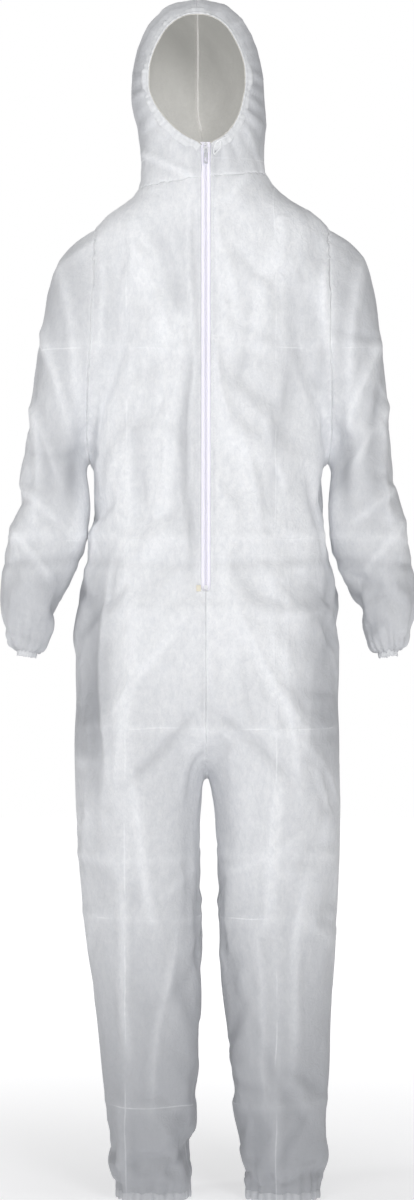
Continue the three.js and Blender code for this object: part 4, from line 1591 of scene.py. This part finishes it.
def repeat_tree(name, sizes, shape, material):
    """A tree that sets a small shape again and again along the edges it is given.

    sizes are its named inputs in mm with their usual values, and shape builds the small mesh from them.
    """
    tree = bpy.data.node_groups.new(name, "GeometryNodeTree")
    face = tree.interface
    face.new_socket("Geometry", in_out="INPUT", socket_type="NodeSocketGeometry")
    for label, value in sizes.items():
        socket = face.new_socket(label, in_out="INPUT", socket_type="NodeSocketFloat")
        socket.default_value = value
    face.new_socket("Geometry", in_out="OUTPUT", socket_type="NodeSocketGeometry")
    start = node(tree, "NodeGroupInput")
    metres = {
        label: node(
            tree, "ShaderNodeMath", [(0, start.outputs[label]), (1, MM)], operation="MULTIPLY",
        ).outputs[0]
        for label in sizes
    }
    line = node(tree, "GeometryNodeMeshToCurve", [("Mesh", start.outputs["Geometry"])])
    facing = node(tree, "GeometryNodeInputNamedAttribute", [("Name", "facing")], data_type="FLOAT_VECTOR")
    points = node(
        tree, "GeometryNodeCurveToPoints",
        [("Curve", line.outputs[0]), ("Length", metres["Pitch"])], mode="LENGTH",
    )
    aim = node(
        tree, "FunctionNodeAlignRotationToVector",
        [("Vector", points.outputs["Tangent"])], axis="X",
    )
    turn = node(
        tree, "FunctionNodeAlignRotationToVector",
        [("Rotation", aim.outputs[0]), ("Vector", facing.outputs[0])], axis="Z", pivot_axis="X",
    )
    small = shape(tree, metres)
    many = node(
        tree, "GeometryNodeInstanceOnPoints",
        [("Points", points.outputs["Points"]), ("Instance", small), ("Rotation", turn.outputs[0])],
    )
    real = node(tree, "GeometryNodeRealizeInstances", [("Geometry", many.outputs[0])])
    smooth = node(tree, "GeometryNodeSetShadeSmooth", [("Geometry", real.outputs[0])])
    done = node(tree, "GeometryNodeSetMaterial", [("Geometry", smooth.outputs[0])])
    done.inputs["Material"].default_value = material
    node(tree, "NodeGroupOutput", [("Geometry", done.outputs[0])])
    return tree


def stitch_shape(tree, size):
    """One stitch: a short bead of thread that dips into the cloth at both ends."""
    bead = node(tree, "GeometryNodeMeshUVSphere", [("Segments", 6), ("Rings", 5), ("Radius", 0.5)])
    lengths = [("X", size["Stitch"]), ("Y", size["Thread"]), ("Z", size["Thread"])]
    scale = node(tree, "ShaderNodeCombineXYZ", lengths)
    links = [("Geometry", bead.outputs["Mesh"]), ("Scale", scale.outputs[0])]
    return node(tree, "GeometryNodeTransform", links).outputs[0]


def tooth_shape(tree, size):
    """One turn of the coil: a rounded bar across the tape, with its head at the middle of the zip."""
    bar = node(tree, "GeometryNodeMeshUVSphere", [("Segments", 8), ("Rings", 6), ("Radius", 0.5)])
    lengths = [("X", size["Wire"]), ("Y", size["Tooth"]), ("Z", size["Height"])]
    scale = node(tree, "ShaderNodeCombineXYZ", lengths)
    links = [("Geometry", bar.outputs["Mesh"]), ("Scale", scale.outputs[0])]
    return node(tree, "GeometryNodeTransform", links).outputs[0]


def path_object(name, paths):
    """Edges along the paths, each a pair of points and facing directions in the frame."""
    verts, edges, facing = [], [], []
    for points, normals in paths:
        first = len(verts)
        verts += [tuple(p) for p in points]
        facing += [tuple(n) for n in normals]
        edges += [(first + k, first + k + 1) for k in range(len(points) - 1)]
    mesh = bpy.data.meshes.new(name)
    mesh.from_pydata(verts, edges, [])
    layer = mesh.attributes.new("facing", "FLOAT_VECTOR", "POINT")
    layer.data.foreach_set("vector", np.array(facing, np.float32).ravel())
    return add_object(name, mesh)


STITCH_PITCH = 4.2
STITCHES = repeat_tree(
    "stitches", {"Pitch": STITCH_PITCH, "Stitch": 3.2, "Thread": 0.75}, stitch_shape, THREAD,
)
TEETH = repeat_tree(
    "coil_teeth", {"Pitch": COIL_PITCH, "Tooth": 3.0, "Wire": 1.25, "Height": 1.9}, tooth_shape, COIL,
)


def zip_coils():
    made = {}
    for word, side in SIDES.items():
        shift = 0 if side > 0 else COIL_PITCH / 2
        ends = [on_zip(side * 1.25, 1.4, z - shift) for z in np.linspace(-8, -ZIP_LENGTH + 9, 60)]
        path = path_object(f"coil_{word}", [(ends, [-ZIP_IN] * len(ends))])
        made[word] = run_tree(path, TEETH, {"Pitch": COIL_PITCH})
    return made


def sewn_line(points, lift=0.3):
    """A stitch path laid on the cloth through the points, with the way it faces."""
    found = [on_cloth(p, -lift) for p in points]
    return [f[0] for f in found], [f[1] for f in found]


def front_stitches():
    """The rows that hold the folded fronts to the zip's tapes, and the tack across its lower end."""
    paths = []
    for side in SIDES.values():
        rows = np.linspace(-6, -ZIP_LENGTH + 1, 160)
        paths.append(sewn_line([on_zip(side * SEWN_AT, 0, z) for z in rows]))
    across = np.linspace(-SEWN_AT, SEWN_AT, 14)
    paths.append(sewn_line([on_zip(x, 0, -ZIP_LENGTH - 2) for x in across]))
    return run_tree(path_object("front_stitching", paths), STITCHES, {"Pitch": STITCH_PITCH})


coils = zip_coils()
slider = zip_slider()
pull = zip_pull()
stops = zip_stops()
front_thread = front_stitches()
for word in SIDES:
    wear(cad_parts[f"zip_tape_{word}"], TAPE)


# ---- What each piece rides on


def join_hood(piece):
    """Bakes a hood piece's place into its mesh."""
    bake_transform(piece)


def settle(piece, slot, *stands_for, rides=None):
    """Attaches the piece to what it rides on and hides the plain pieces it stands for; slot, its finish, is
    not used.
    """
    if rides:
        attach(piece, rides)
    if stands_for:
        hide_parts(*stands_for)


for word, side in SIDES.items():
    for part in ("front", "back"):
        panel = panels[f"{part}_{word}"]
        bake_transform(panel)
        settle(panel, "cloth", f"{part}_panel_{word}", f"shin_{part}_{word}")
    sleeve = panels[f"sleeve_{word}"]
    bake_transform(sleeve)
    settle(sleeve, "cloth", f"sleeve_upper_{word}", f"sleeve_lower_{word}")
    hood = panels[f"hood_half_{word}"]
    join_hood(hood)
    settle(hood, "cloth", f"hood_{word}", f"hood_collar_{word}")
    for end, body in (("wrist", "forearm"), ("ankle", "shin")):
        hem, elastic = hems[f"{end}_{word}"]
        settle(hem, "cloth", f"{end}_hem_{word}", rides=f"{body}_{word}")
        settle(elastic, "elastic", f"{end}_elastic_{word}", rides=f"{body}_{word}")
    settle(coils[word], "zip_teeth", f"zip_chain_{word}", rides="torso")
    settle(stops[f"top_stop_{word}"], "zip_teeth", f"zip_top_stop_{word}", rides="torso")

face_hem, face_elastic = hems["face"]
join_hood(face_hem)
settle(face_hem, "cloth", "face_hem")
join_hood(face_elastic)
settle(face_elastic, "elastic", "face_elastic")
for piece in (hood_ridge, hem_loop):
    join_hood(piece)
    settle(piece, "cloth")
settle(casing, "cloth", "waist_casing", rides="torso")
settle(waist_elastic, "elastic", "waist_elastic", rides="torso")
settle(stops["bottom_stop"], "zip_teeth", "zip_bottom_stop", rides="torso")
settle(stops["lower_tab"], "zip_tape", rides="torso")
settle(front_thread, "cloth", rides="torso")
settle(slider, "slider", "zip_slider", rides="zip_slider")
settle(pull, "slider", "zip_pull", rides="zip_pull")

for name, panel in panels.items():
    shade_smooth(panel)

bpy.data.objects.remove(form)
